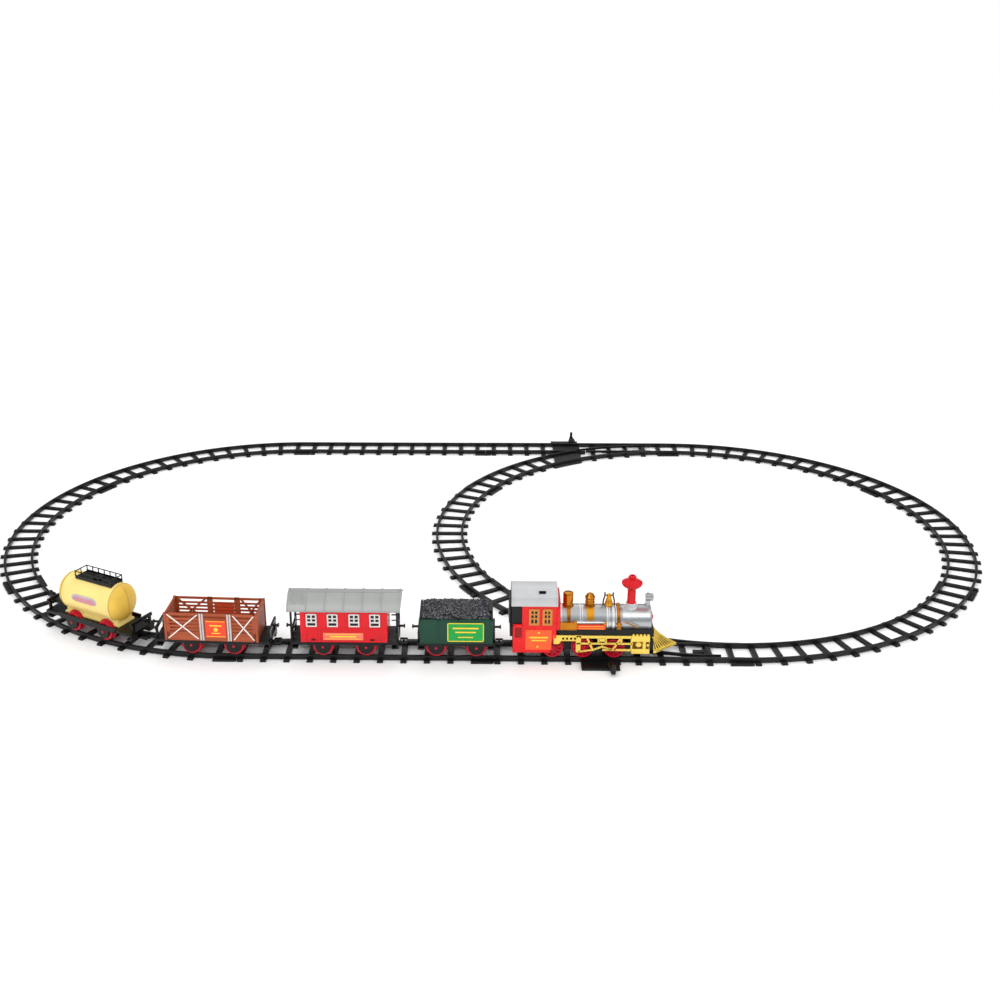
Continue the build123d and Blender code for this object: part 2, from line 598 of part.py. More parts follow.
with BuildPart(coach.flat) as coach_body:
    block((-50.2, 50.2), (-22.5, 22.5), (25.6, 64.6))
    block((-50.2 + WALL, 50.2 - WALL), (-22.5 + WALL, 22.5 - WALL), (25.6, 64.6 - WALL), mode=Mode.SUBTRACT)
    for x in COACH_WINDOWS:
        block((x - 5.2, x + 5.2), (-23, 23), (WINDOW_BOTTOM + 1, WINDOW_TOP - 1), mode=Mode.SUBTRACT)
    # doorways in the end walls
    block((-60, 60), (-6, 6), (27.5, 58), mode=Mode.SUBTRACT)
save(coach_body.part, "coach_body")

with BuildPart(coach.flat) as coach_windows:
    for x in COACH_WINDOWS:
        middle = (WINDOW_BOTTOM + WINDOW_TOP) / 2
        mirrored_block((x - WINDOW_WIDTH / 2, x + WINDOW_WIDTH / 2), (22.55, 23.3),
                       (WINDOW_BOTTOM, WINDOW_TOP))
        for pane_x in (x - 2.6, x + 2.6):
            for low, high in ((-1.6, 2.2), (3.2, 6.8)):
                mirrored_block((pane_x - 2.0, pane_x + 2.0), (22, 24), (middle + low, middle + high),
                               mode=Mode.SUBTRACT)
        mirrored_block((x - 4.6, x + 4.6), (22, 24), (middle - 6.6, middle - 2.8), mode=Mode.SUBTRACT)
save(coach_windows.part, "coach_windows")

with BuildPart() as coach_roof:
    with BuildSketch(coach.front.offset(-65)) as roof_line:
        with BuildLine():
            Polyline((-24.5, 65), (-24.5, 67), (-20.5, 73), (-5.5, 81), (5.5, 81), (20.5, 73),
                     (24.5, 67), (24.5, 65), close=True)
        make_face()
    extrude(amount=130)
    with BuildSketch(coach.front.offset(-63)) as under:
        with BuildLine():
            Polyline((-22.7, 65), (-22.7, 66.4), (-19.2, 71.5), (-5, 79), (5, 79), (19.2, 71.5),
                     (22.7, 66.4), (22.7, 65), close=True)
        make_face()
    extrude(amount=126, mode=Mode.SUBTRACT)
    for index in range(5):
        x = -43.3 + index * 21.65
        with BuildSketch(coach.front.offset(x - 0.7)) as rib:
            with BuildLine():
                Polyline((-25.1, 65.4), (-25.1, 67.3), (-20.9, 73.6), (-5.7, 81.7), (5.7, 81.7),
                         (20.9, 73.6),
                         (25.1, 67.3), (25.1, 65.4), (24, 65.4), (24, 67), (20, 72.5), (5.5, 80.5),
                         (-5.5, 80.5), (-20, 72.5), (-24, 67), (-24, 65.4), close=True)
            make_face()
        extrude(amount=1.4)
save(coach_roof.part, "coach_roof")


# ---------------------------------------------------------------- open wagon

WAGON_HALF = 54.0
WAGON_POSTS = (-13.0, -9.0, 19.5, 24.0)

with BuildPart(wagon.flat) as wagon_body:
    block((-WAGON_HALF, WAGON_HALF), (-22.6, 22.6), (25.2, 60))
    for low, high in ((34.8, 61), (24, 33.2)):
        block((-WAGON_HALF + WALL, WAGON_HALF - WALL), (-22.6 + WALL, 22.6 - WALL), (low, high),
              mode=Mode.SUBTRACT)
    for row in range(5):
        z = 36.2 + row * 4.9
        for span in ((-50, -27), (-24, -11), (-7.5, 7.5), (11, 24), (27, 50)):
            block(span, (-24, 24), (z, z + 1.3), mode=Mode.SUBTRACT)
        for span in ((-17.5, -2.5), (2.5, 17.5)):
            block((-56, 56), span, (z, z + 1.3), mode=Mode.SUBTRACT)
save(wagon_body.part, "wagon_body")


# ---------------------------------------------------------------- tank car

TANK_AXIS = 52.25
TANK_BODY_RADIUS = 22.75
TANK_HALF = 48.5

with BuildPart() as tank_shell:
    with BuildSketch(tank.side) as half_section:
        with BuildLine():
            Polyline((-TANK_HALF, TANK_AXIS), (-TANK_HALF, TANK_AXIS + 9))
            RadiusArc((-TANK_HALF, TANK_AXIS + 9), (-36, TANK_AXIS + TANK_BODY_RADIUS), 17)
            Line((-36, TANK_AXIS + TANK_BODY_RADIUS), (36, TANK_AXIS + TANK_BODY_RADIUS))
            RadiusArc((36, TANK_AXIS + TANK_BODY_RADIUS), (TANK_HALF, TANK_AXIS + 9), 17)
            Polyline((TANK_HALF, TANK_AXIS + 9), (TANK_HALF, TANK_AXIS), (-TANK_HALF, TANK_AXIS))
        make_face()
    tank_line = Axis(tank.side.from_local_coords((0, TANK_AXIS, 0)), tank.side.x_dir)
    revolve(axis=tank_line)
    with BuildSketch(tank.front.offset(-40.5)) as skirt:
        with Locations((0, 30)):
            Rectangle(24.4, 10)
    extrude(amount=81)
    with BuildSketch(tank.front.offset(-40)) as hollow:
        with Locations((0, TANK_AXIS)):
            Circle(TANK_BODY_RADIUS - 2)
    extrude(amount=80, mode=Mode.SUBTRACT)
save(tank_shell.part, "tank_shell")

WALKWAY_X = 5.5              # the walkway stands a little nearer the front end

with BuildPart(tank.flat) as walkway:
    block((WALKWAY_X - 28.5, WALKWAY_X + 28.5), (-10, 10), (75.4, 76.6))
    for x in (WALKWAY_X - 26, WALKWAY_X, WALKWAY_X + 25):
        mirrored_block((x - 1, x + 1), (7, 9), (71.2, 76))
    with Locations((0, 0, TANK_AXIS)):
        Cylinder(TANK_BODY_RADIUS + 0.05, 200, rotation=(0, 90, 0), mode=Mode.SUBTRACT)
    for level in (79.4, 82.6):
        mirrored_block((WALKWAY_X - 28.5, WALKWAY_X + 28.5), (8.9, 10), (level - 0.6, level + 0.6))
        for x in (WALKWAY_X - 27.95, WALKWAY_X + 27.95):
            block((x - 0.55, x + 0.55), (-10, 10), (level - 0.6, level + 0.6))
    for index in range(7):
        x = WALKWAY_X - 27.9 + index * 9.3
        mirrored_block((x - 0.6, x + 0.6), (8.9, 10), (76, 82.6))
save(walkway.part, "tank_walkway")


# ---------------------------------------------------------------- engine

BOILER_AXIS = 47.5
BOILER_RADIUS = 17.5
FOOTPLATE_TOP = 44.0
CAB_START = 31.0
CAB_END = 81.0
CAB_HALF = 23.0
CHIMNEY_X = 167.3
DOOR_RADIUS = 6.3
FRAME_INNER = 21.3          # the gold side frames' distances from the engine's middle
FRAME_OUTER = 22.8

with BuildPart(engine.flat) as engine_chassis:
    # frame: two walls and a floor between the wheels
    mirrored_block((CAB_START, 190), (10.6, 12.2), (13.2, 23))
    block((39, 190), (-12.2, 12.2), (13.2, 15))
    block((DRIVE_AXLE_X - 11, DRIVE_AXLE_X + 11), (-10.5, -5), (12, 16), mode=Mode.SUBTRACT)
    block((44, 58), (-3, 3), (12, 16), mode=Mode.SUBTRACT)
    # footplate with its side skirts, on cross walls
    block((CAB_END + 4.3, 190), (-21.5, 21.5), (41.4, FOOTPLATE_TOP))
    mirrored_block((CAB_END + 4.3, 190), (20, 21.5), (37.2, FOOTPLATE_TOP))
    for x in (95.5, 130, 166, 188):
        block((x - 1, x + 1), (-12.2, 12.2), (13.2, 42))
    # battery housing that fills the cab
    block((27.6, 79), (-19.4, 19.4), (33.6, 72.8))
    block((28.8, 77.8), (-18.2, 18.2), (34.8, 71.6), mode=Mode.SUBTRACT)
    for x in (40, 62):
        block((x - 1, x + 1), (-12.2, 12.2), (13.2, 34))
    # buffer beam behind the cowcatcher
    block((188, 192.6), (-20, 20), (34.5, FOOTPLATE_TOP))
    rear_ears(ENGINE_REAR, length=9)
    for x in ENGINE_AXLES:
        with Locations((x, 0, AXLE_HEIGHT)):
            Cylinder(AXLE_RADIUS + RUNNING_CLEARANCE, 30, rotation=(90, 0, 0), mode=Mode.SUBTRACT)
save(engine_chassis.part, "engine_chassis")

with BuildPart() as boiler_shell:
    with BuildSketch(engine.front.offset(81.5)) as barrel:
        with Locations((0, BOILER_AXIS)):
            Circle(BOILER_RADIUS)
        with Locations((0, FOOTPLATE_TOP - 30 + 0.05)):
            Rectangle(60, 60, mode=Mode.SUBTRACT)
    extrude(amount=108.5)
    with BuildSketch(engine.front.offset(86)) as bore:
        with Locations((0, BOILER_AXIS)):
            Circle(BOILER_RADIUS - 2)
        with Locations((0, FOOTPLATE_TOP - 30 + 1.5)):
            Rectangle(60, 60, mode=Mode.SUBTRACT)
    extrude(amount=102, mode=Mode.SUBTRACT)
    with BuildSketch(Plane(engine.flat.from_local_coords((CHIMNEY_X, 0, 60)))) as saddle:
        Circle(8.2)
    extrude(amount=9)
    for x in (87, 108, 138, 145):
        with BuildSketch(engine.front.offset(x - 1)) as band:
            with Locations((0, BOILER_AXIS)):
                Circle(BOILER_RADIUS + 0.6)
                Circle(BOILER_RADIUS - 0.5, mode=Mode.SUBTRACT)
            with Locations((0, FOOTPLATE_TOP - 30 + 0.05)):
                Rectangle(60, 60, mode=Mode.SUBTRACT)
        extrude(amount=2)
save(boiler_shell.part, "boiler_shell")

with BuildPart() as smokebox_door:
    with BuildSketch(engine.front.offset(190.05)) as disc:
        with Locations((0, FOOTPLATE_TOP + DOOR_RADIUS + 0.2)):
            Circle(DOOR_RADIUS)
    extrude(amount=2.6)
    with BuildSketch(engine.front.offset(192)) as boss:
        with Locations((0, FOOTPLATE_TOP + DOOR_RADIUS + 0.2)):
            Circle(2.4)
    extrude(amount=2.2)
save(smokebox_door.part, "smokebox_door")

with BuildPart(engine.flat) as cab_body:
    block((CAB_START, CAB_END), (-CAB_HALF, CAB_HALF), (14, 74))
    block((CAB_START - 1, CAB_END - 1.6), (-CAB_HALF + WALL, CAB_HALF - WALL), (13, 75), mode=Mode.SUBTRACT)
    block((CAB_END - 0.5, CAB_END + 4), (-22, 22), (FOOTPLATE_TOP + 0.1, 76))
    # the boiler's rear end passes through the front wall
    with Locations((CAB_END, 0, BOILER_AXIS)):
        Cylinder(BOILER_RADIUS + 0.1, 12, rotation=(0, 90, 0), mode=Mode.SUBTRACT)
    block((CAB_END - 3, CAB_END + 5), (-13, 13), (12, FOOTPLATE_TOP), mode=Mode.SUBTRACT)
    block((CAB_END - 3, CAB_END + 5), (-20.8, 20.8), (12, 36), mode=Mode.SUBTRACT)
    # side doorways above the rear panels, and the windows
    block((CAB_START - 1, 42.3), (-24, 24), (49.8, 73), mode=Mode.SUBTRACT)
    for low, high in ((50.2, 60.6), (65.3, 75)):
        block((low, high), (-24, 24), (51, 69.5), mode=Mode.SUBTRACT)
    # step slats
    for index in range(4):
        mirrored_block((CAB_START, 42), (22.8, 24.2), (15 + index * 4.8, 17 + index * 4.8))
save(cab_body.part, "cab_body")

with BuildPart() as cab_roof:
    with BuildSketch(engine.front.offset(29)) as roof:
        with BuildLine():
            Polyline((-24.4, 74.05), (-24.4, 76.5), (-21.5, 84.5), (-9, 90.5), (9, 90.5), (21.5, 84.5),
                     (24.4, 76.5), (24.4, 74.05), close=True)
        make_face()
    extrude(amount=53)
    with BuildSketch(engine.front.offset(30.6)) as inside:
        with BuildLine():
            Polyline((-22.6, 74.05), (-22.6, 76.2), (-20, 83), (-8.6, 88.7), (8.6, 88.7), (20, 83),
                     (22.6, 76.2), (22.6, 74.05), close=True)
        make_face()
    extrude(amount=49.8, mode=Mode.SUBTRACT)
    with BuildSketch(engine.front.offset(80)) as front_notch:
        with Locations((0, 74)):
            Rectangle(44.4, 4.4)
    extrude(amount=6, mode=Mode.SUBTRACT)
save(cab_roof.part, "cab_roof")

with BuildPart(engine.flat) as cab_windows:
    for low, high in ((49.2, 61.6), (64.3, 76.0)):
        mirrored_block((low, high), (CAB_HALF + 0.05, CAB_HALF + 0.9), (50, 70.5))
        width = (high - low - 4.2) / 2
        for column in range(2):
            start = low + 1.4 + column * (width + 1.4)
            for row in range(3):
                z = 51.4 + row * 6.1
                mirrored_block((start, start + width), (CAB_HALF - 1, CAB_HALF + 2), (z, z + 5),
                               mode=Mode.SUBTRACT)
save(cab_windows.part, "cab_windows")

with BuildPart(engine.flat) as running_boards:
    mirrored_block((85.2, 136), (18.3, 21.5), (FOOTPLATE_TOP + 0.05, 52.6))
    mirrored_block((103, 136), (21.3, 22.3), (FOOTPLATE_TOP + 0.3, 49))
save(running_boards.part, "running_boards")


def upright(x):
    """Side view plane of the engine with its origin at x, for turned fittings."""
    return Plane((x, near, 0), x_dir=(1, 0, 0), z_dir=(0, -1, 0))


with BuildPart() as chimney:
    with BuildSketch(upright(CHIMNEY_X)):
        with BuildLine():
            Polyline((0, 69.05), (4.8, 69.05), (4.8, 83.5), (7.5, 85.5), (10.8, 87.6))
            ThreePointArc((10.8, 87.6), (12.15, 92), (9.6, 96.6))
            Polyline((9.6, 96.6), (5.6, 98.6), (5.2, 102.8), (3.2, 102.8), (3.2, 98), (0, 98), (0, 69.05))
        make_face()
    revolve(axis=Axis(engine.flat.from_local_coords((CHIMNEY_X, 0, 0)), (0, 0, 1)))
save(chimney.part, "chimney")


def boiler_fitting(label, x, outline):
    """A turned fitting on top of the boiler, cut to sit on its round back."""
    with BuildPart() as fitting:
        with BuildSketch(upright(x)):
            with BuildLine():
                Polyline((0, 60), *outline, (0, outline[-1][1]), close=True)
            make_face()
        revolve(axis=Axis(engine.flat.from_local_coords((x, 0, 0)), (0, 0, 1)))
        with BuildSketch(engine.front.offset(x - 20)) as boiler_top:
            with Locations((0, BOILER_AXIS)):
                Circle(BOILER_RADIUS + 0.65)
        extrude(amount=40, mode=Mode.SUBTRACT)
    save(fitting.part, label)


boiler_fitting("sand_dome", 94.8, ((7.0, 60), (7.0, 65), (5.7, 67.4), (5.9, 69.4), (5.9, 80),
                                   (4.6, 81.2)))
boiler_fitting("steam_dome", 119.9, ((6.5, 60), (6.5, 65), (4.9, 68), (5.6, 69), (4.9, 71), (5.9, 75.4),
                                     (4.4, 78.4), (1.4, 80.4)))

with BuildPart(engine.flat) as bell:
    block((135.6, 149), (-3.2, 3.2), (65.2, 67))
    for x in (136.4, 148.2):
        block((x - 0.8, x + 0.8), (-2, 2), (66.5, 77.5))
    block((135.6, 149), (-1.2, 1.2), (76.2, 78.2))
    with Locations((142.3, 0, 68.6)):
        Cone(5.0, 2.6, 8.2, align=BOTTOM)
    with Locations((142.3, 0, 77.8)):
        Cylinder(1.2, 1.6, align=BOTTOM)
    with Locations((142.3, 0, BOILER_AXIS)):
        Cylinder(BOILER_RADIUS + 0.65, 60, rotation=(0, 90, 0), mode=Mode.SUBTRACT)
save(bell.part, "bell")

with BuildPart(engine.flat) as headlamp:
    block((183.8, 189.6), (-3.6, 3.6), (60, 71.4))
    with Locations((188.2, 0, 75.4)):
        Cylinder(5.2, 9.4, rotation=(0, 90, 0))
    with Locations((192.9, 0, 75.4)):
        Cylinder(4.1, 3, rotation=(0, 90, 0), mode=Mode.SUBTRACT)
    with Locations((186, 0, BOILER_AXIS)):
        Cylinder(BOILER_RADIUS + 0.05, 60, rotation=(0, 90, 0), mode=Mode.SUBTRACT)
save(headlamp.part, "headlamp")

with BuildPart(engine.flat) as side_frames:
    with BuildSketch(engine.side.offset(FRAME_INNER)) as lattice:
        with BuildLine():
            Polyline((81.1, 36.9), (169, 36.9), (169, 16.9), (146.4, 17), (134, 21.2), (123.5, 17.2),
                     (107.4, 14.8), (104.8, 14.8), (103.6, 17), (103.6, 29.6), (86.8, 29.6),
                     (84, 25.6), (81.1, 25.6), close=True)
        make_face()
        for cell in (((88, 31.2), (90, 31.2), (90, 34.2), (88, 34.2)),
                     ((92.2, 31.2), (94.6, 31.2), (94.6, 34.2), (92.2, 34.2)),
                     ((96.8, 31.2), (99.2, 31.2), (99.2, 34.2), (96.8, 34.2)),
                     ((109.8, 33.3), (115, 33.3), (117.6, 27.6), (109.8, 27.6)),
                     ((109.8, 25.3), (118.6, 25.3), (121.4, 19.6), (109.8, 17.8)),
                     ((118.4, 33.3), (128.2, 33.3), (128.2, 27.6), (121, 27.6)),
                     ((122.4, 25.3), (132, 25.3), (132, 23.4), (124.6, 20.6)),
                     ((139.2, 33.3), (154.2, 33.3), (151.4, 27.6), (139.2, 27.6)),
                     ((136.4, 25.3), (148.6, 25.3), (145.6, 20.6), (137.4, 23.2)),
                     ((156.8, 33.3), (167.6, 33.3), (167.6, 27.6), (156.8, 27.6)),
                     ((151.4, 25.3), (167.6, 25.3), (167.6, 19.8), (148.8, 19.8))):
            with BuildLine() as edge:
                Polyline(*cell, close=True)
            make_face(edge.edges(), mode=Mode.SUBTRACT)
    extrude(lattice.sketch, amount=FRAME_OUTER - FRAME_INNER)
    extrude(lattice.sketch.moved(Location((0, FRAME_INNER + FRAME_OUTER, 0))),
            amount=FRAME_OUTER - FRAME_INNER)
    mirrored_block((169, 187.9), (13.4, 23.4), (15, 36.9))
    for side in (-1, 1):
        with Locations((178.5, side * 23.2, 27)):
            Cylinder(6.4, 2.4, rotation=(90, 0, 0))
save(side_frames.part, "side_frames")

with BuildPart() as cowcatcher:
    with BuildSketch(Plane.XY.offset(14.2)) as foot:
        with BuildLine():
            Polyline((192.7, near - 21), (199, near - 21), (222.4, near - 2), (222.4, near + 2),
                     (199, near + 21), (192.7, near + 21), close=True)
        make_face()
    extrude(amount=24)
    with BuildSketch(Plane.XZ.offset(-near - 30)) as slope:
        with BuildLine():
            Polyline((195.5, 38.3), (198.5, 34.5), (222.5, 17.2), (222.5, 40), (195.5, 40), close=True)
        make_face()
    extrude(amount=60, mode=Mode.SUBTRACT)
save(cowcatcher.part, "cowcatcher")

with BuildPart(engine.flat) as drive_motor:
    with Locations((DRIVE_AXLE_X, 4.5, MOTOR_HEIGHT)):
        Cylinder(10, 16, rotation=(90, 0, 0))
    block((100, 124), (-4, 13), (MOTOR_HEIGHT + 7.4, 60), mode=Mode.SUBTRACT)
    block((100, 124), (-4, 13), (10, MOTOR_HEIGHT - 7.4), mode=Mode.SUBTRACT)
    with Locations((DRIVE_AXLE_X, 0, MOTOR_HEIGHT)):
        Cylinder(1.0 + RUNNING_CLEARANCE, 60, rotation=(90, 0, 0), mode=Mode.SUBTRACT)
save(drive_motor.part, "drive_motor")

with BuildPart(engine.flat) as motor_pinion:
    with Locations((DRIVE_AXLE_X, 1.0, MOTOR_HEIGHT)):
        Cylinder(1.0, 23, rotation=(90, 0, 0))
    with BuildSketch(Plane((DRIVE_AXLE_X, near + GEAR_HIGH, MOTOR_HEIGHT), x_dir=(1, 0, 0),
                           z_dir=(0, -1, 0))) as pinion_face:
        gear_outline(PINION_TEETH, -90)
    extrude(pinion_face.sketch, amount=GEAR_HIGH - GEAR_LOW)
save(motor_pinion.part, "motor_pinion")

with BuildPart(engine.flat) as batteries:
    for side in (-7.6, 7.6):
        with Locations((53.4, side, 42.4)):
            Cylinder(7.1, 47, rotation=(0, 90, 0))
        with Locations((53.4, side, 42.4)):
            Cylinder(2.6, 48.6, rotation=(0, 90, 0))
save(batteries.part, "batteries")

with BuildPart(engine.flat) as power_switch:
    block((46, 52), (-2.4, 2.4), (15.3, 16.6))
    block((47, 51), (-1.6, 1.6), (11.4, 16))
save(power_switch.part, "power_switch")
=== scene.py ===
"""Battery toy train on its plastic track: an oval with an inner loop and two switches.

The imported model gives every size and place. This script dresses it: track sections and repeated
parts grow from Geometry Nodes, turned and moulded pieces are mesh work, finishes are procedural.
"""

import json
import math

import bmesh
import bpy
from bpy.props import FloatProperty, FloatVectorProperty, IntProperty, PointerProperty
from mathutils import Matrix, Vector


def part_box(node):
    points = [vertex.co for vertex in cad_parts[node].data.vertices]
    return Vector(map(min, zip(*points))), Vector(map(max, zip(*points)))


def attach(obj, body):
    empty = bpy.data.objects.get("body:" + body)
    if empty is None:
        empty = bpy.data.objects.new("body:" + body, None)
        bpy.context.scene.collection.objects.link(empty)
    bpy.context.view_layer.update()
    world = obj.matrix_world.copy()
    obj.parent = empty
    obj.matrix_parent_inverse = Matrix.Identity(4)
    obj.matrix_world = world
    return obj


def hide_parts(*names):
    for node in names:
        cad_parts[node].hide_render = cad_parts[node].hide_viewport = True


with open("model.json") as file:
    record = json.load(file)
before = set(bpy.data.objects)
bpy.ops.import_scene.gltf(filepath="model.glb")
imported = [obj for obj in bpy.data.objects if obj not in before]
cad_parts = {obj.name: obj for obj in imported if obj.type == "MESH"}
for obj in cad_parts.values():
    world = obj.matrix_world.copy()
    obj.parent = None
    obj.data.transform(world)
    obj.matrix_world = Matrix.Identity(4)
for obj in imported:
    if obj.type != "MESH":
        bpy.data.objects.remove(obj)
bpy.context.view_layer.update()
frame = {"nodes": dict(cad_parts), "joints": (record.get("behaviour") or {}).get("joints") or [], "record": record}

bl_info = {"name": "Toy Train Set", "version": (1, 0, 0), "blender": (4, 5, 0),
    "location": "3D View > Sidebar > Train",
    "description": "Dresses a packed toy train and its track with finished pieces and materials",
    "category": "Object",}

MM = 0.001
NODES = frame["nodes"]
JOINTS = {entry["name"]: entry for entry in frame["joints"]}
BODY_OF = {node: body for body, nodes in frame["record"]["behaviour"]["bodies"].items() for node in nodes}


# ------------------------------------------------------------------ places

def vehicle_place(front_axle, rear_axle):
    """Matrix from a car's own millimetres (x forward, y left, z up) to the layout in metres."""
    front = Vector(JOINTS[front_axle]["pos_m"])
    rear = Vector(JOINTS[rear_axle]["pos_m"])
    middle = (front + rear) / 2
    turn = math.atan2(front.y - rear.y, front.x - rear.x)
    return (Matrix.Translation((middle.x, middle.y, 0)) @ Matrix.Rotation(turn, 4,
        "Z") @ Matrix.Diagonal((MM, MM, MM, 1)))


ENGINE_Y = JOINTS["engine_axle_2"]["pos_m"][1]
PLACES = {name: vehicle_place(f"{name}_axle_front", f"{name}_axle_rear") for name in ("tender", "coach",
    "wagon", "tank")}
PLACES["engine"] = Matrix.Translation((0, ENGINE_Y, 0)) @ Matrix.Diagonal((MM, MM, MM, 1))
PLACES["layout"] = Matrix.Diagonal((MM, MM, MM, 1))


def axle_point(joint, place):
    """An axle's middle in its vehicle's own millimetres."""
    return PLACES[place].inverted() @ Vector(JOINTS[joint]["pos_m"])


# ------------------------------------------------------------------ colours and nodes

def linear(code):
    """A six-digit sRGB hex colour as linear RGB."""
    values = []
    for place in (0, 2, 4):
        part = int(code[place:place + 2], 16) / 255
        values.append(part / 12.92 if part <= 0.04045 else ((part + 0.055) / 1.055) ** 2.4)
    return tuple(values)


def add(tree, kind, inputs=None, **settings):
    """Add one node; inputs are plain values, sockets, or nodes whose first socket feeds them."""
    made = tree.nodes.new(kind)
    for name, value in settings.items():
        setattr(made, name, value)
    feed(tree, made, inputs or {})
    return made


def feed(tree, node, inputs):
    """Set the inputs of a node, or link them."""
    for key, value in inputs.items():
        socket = node.inputs[key]
        if isinstance(value, bpy.types.Node):
            value = value.outputs[0]
        if isinstance(value, bpy.types.NodeSocket):
            tree.links.new(value, socket)
        else:
            socket.default_value = value


def ramp(tree, factor, *stops):
    """Colour ramp whose stops are places and linear colours, its two ends first."""
    made = add(tree, "ShaderNodeValToRGB", {"Fac": factor})
    elements = made.color_ramp.elements
    for index, (place, colour) in enumerate(stops):
        stop = elements[index] if index < 2 else elements.new(place)
        stop.position = place
        stop.color = (*colour, 1.0)
    return made


def placed(name, data):
    """A new object in the scene."""
    made = bpy.data.objects.new(name, data)
    bpy.context.scene.collection.objects.link(made)
    return made


def maths(tree, operation, first, second, kind="ShaderNodeMath"):
    """Add a node that works on two numbers."""
    return add(tree, kind, {0: first, 1: second}, operation=operation)


def vectors(tree, operation, first, second):
    """Add a node that works on two vectors."""
    return maths(tree, operation, first, second, "ShaderNodeVectorMath")


def new_material(name):
    """An empty material with its shader: returns the material, its tree and the shader node."""
    material = bpy.data.materials.new(name)
    material.use_nodes = True
    tree = material.node_tree
    tree.nodes.clear()
    shader = add(tree, "ShaderNodeBsdfPrincipled")
    add(tree, "ShaderNodeOutputMaterial", {"Surface": shader})
    return material, tree, shader


def noise(tree, size_mm, detail, stretch=(1.0, 1.0, 1.0)):
    """Noise on object coordinates whose features are about size_mm across."""
    place = add(tree, "ShaderNodeTexCoord")
    scaled = add(tree, "ShaderNodeMapping", {"Vector": place.outputs["Object"], "Scale": stretch})
    return add(tree, "ShaderNodeTexNoise", {"Vector": scaled, "Scale": 1 / (size_mm * MM), "Detail": detail,
        "Roughness": 0.55})


def dress(name, colour, rough, swing, mottle, grain, depth, metallic=0, coat=0, stretch=(1, 1, 1)):
    """A moulded or sprayed finish: slow change of tone and gloss, and fine relief. Sizes in mm."""
    colour = linear(colour) if isinstance(colour, str) else colour
    material, tree, shader = new_material(name)
    slow = noise(tree, mottle, 2.0, stretch)
    tone = ramp(tree, slow, *((place, [min(part * factor, 1.0) for part in colour]) for place,
        factor in ((0.32, 1 - swing), (0.68, 1 + swing))))
    gloss = add(tree, "ShaderNodeMapRange", {"Value": slow.outputs["Fac"], "From Min": 0.3, "From Max": 0.7,
        "To Min": rough - 0.04, "To Max": rough + 0.05})
    fine = noise(tree, grain, 4.0, stretch)
    relief = add(tree, "ShaderNodeBump", {"Height": fine.outputs["Fac"], "Strength": 0.5,
        "Distance": depth * MM})
    feed(tree, shader, {"Base Color": tone, "Roughness": gloss, "Normal": relief, "Metallic": metallic,
        "Specular IOR Level": 0.3, "Coat Weight": coat * 0.5, "Coat Roughness": 0.08})
    return material


MATERIALS = {}


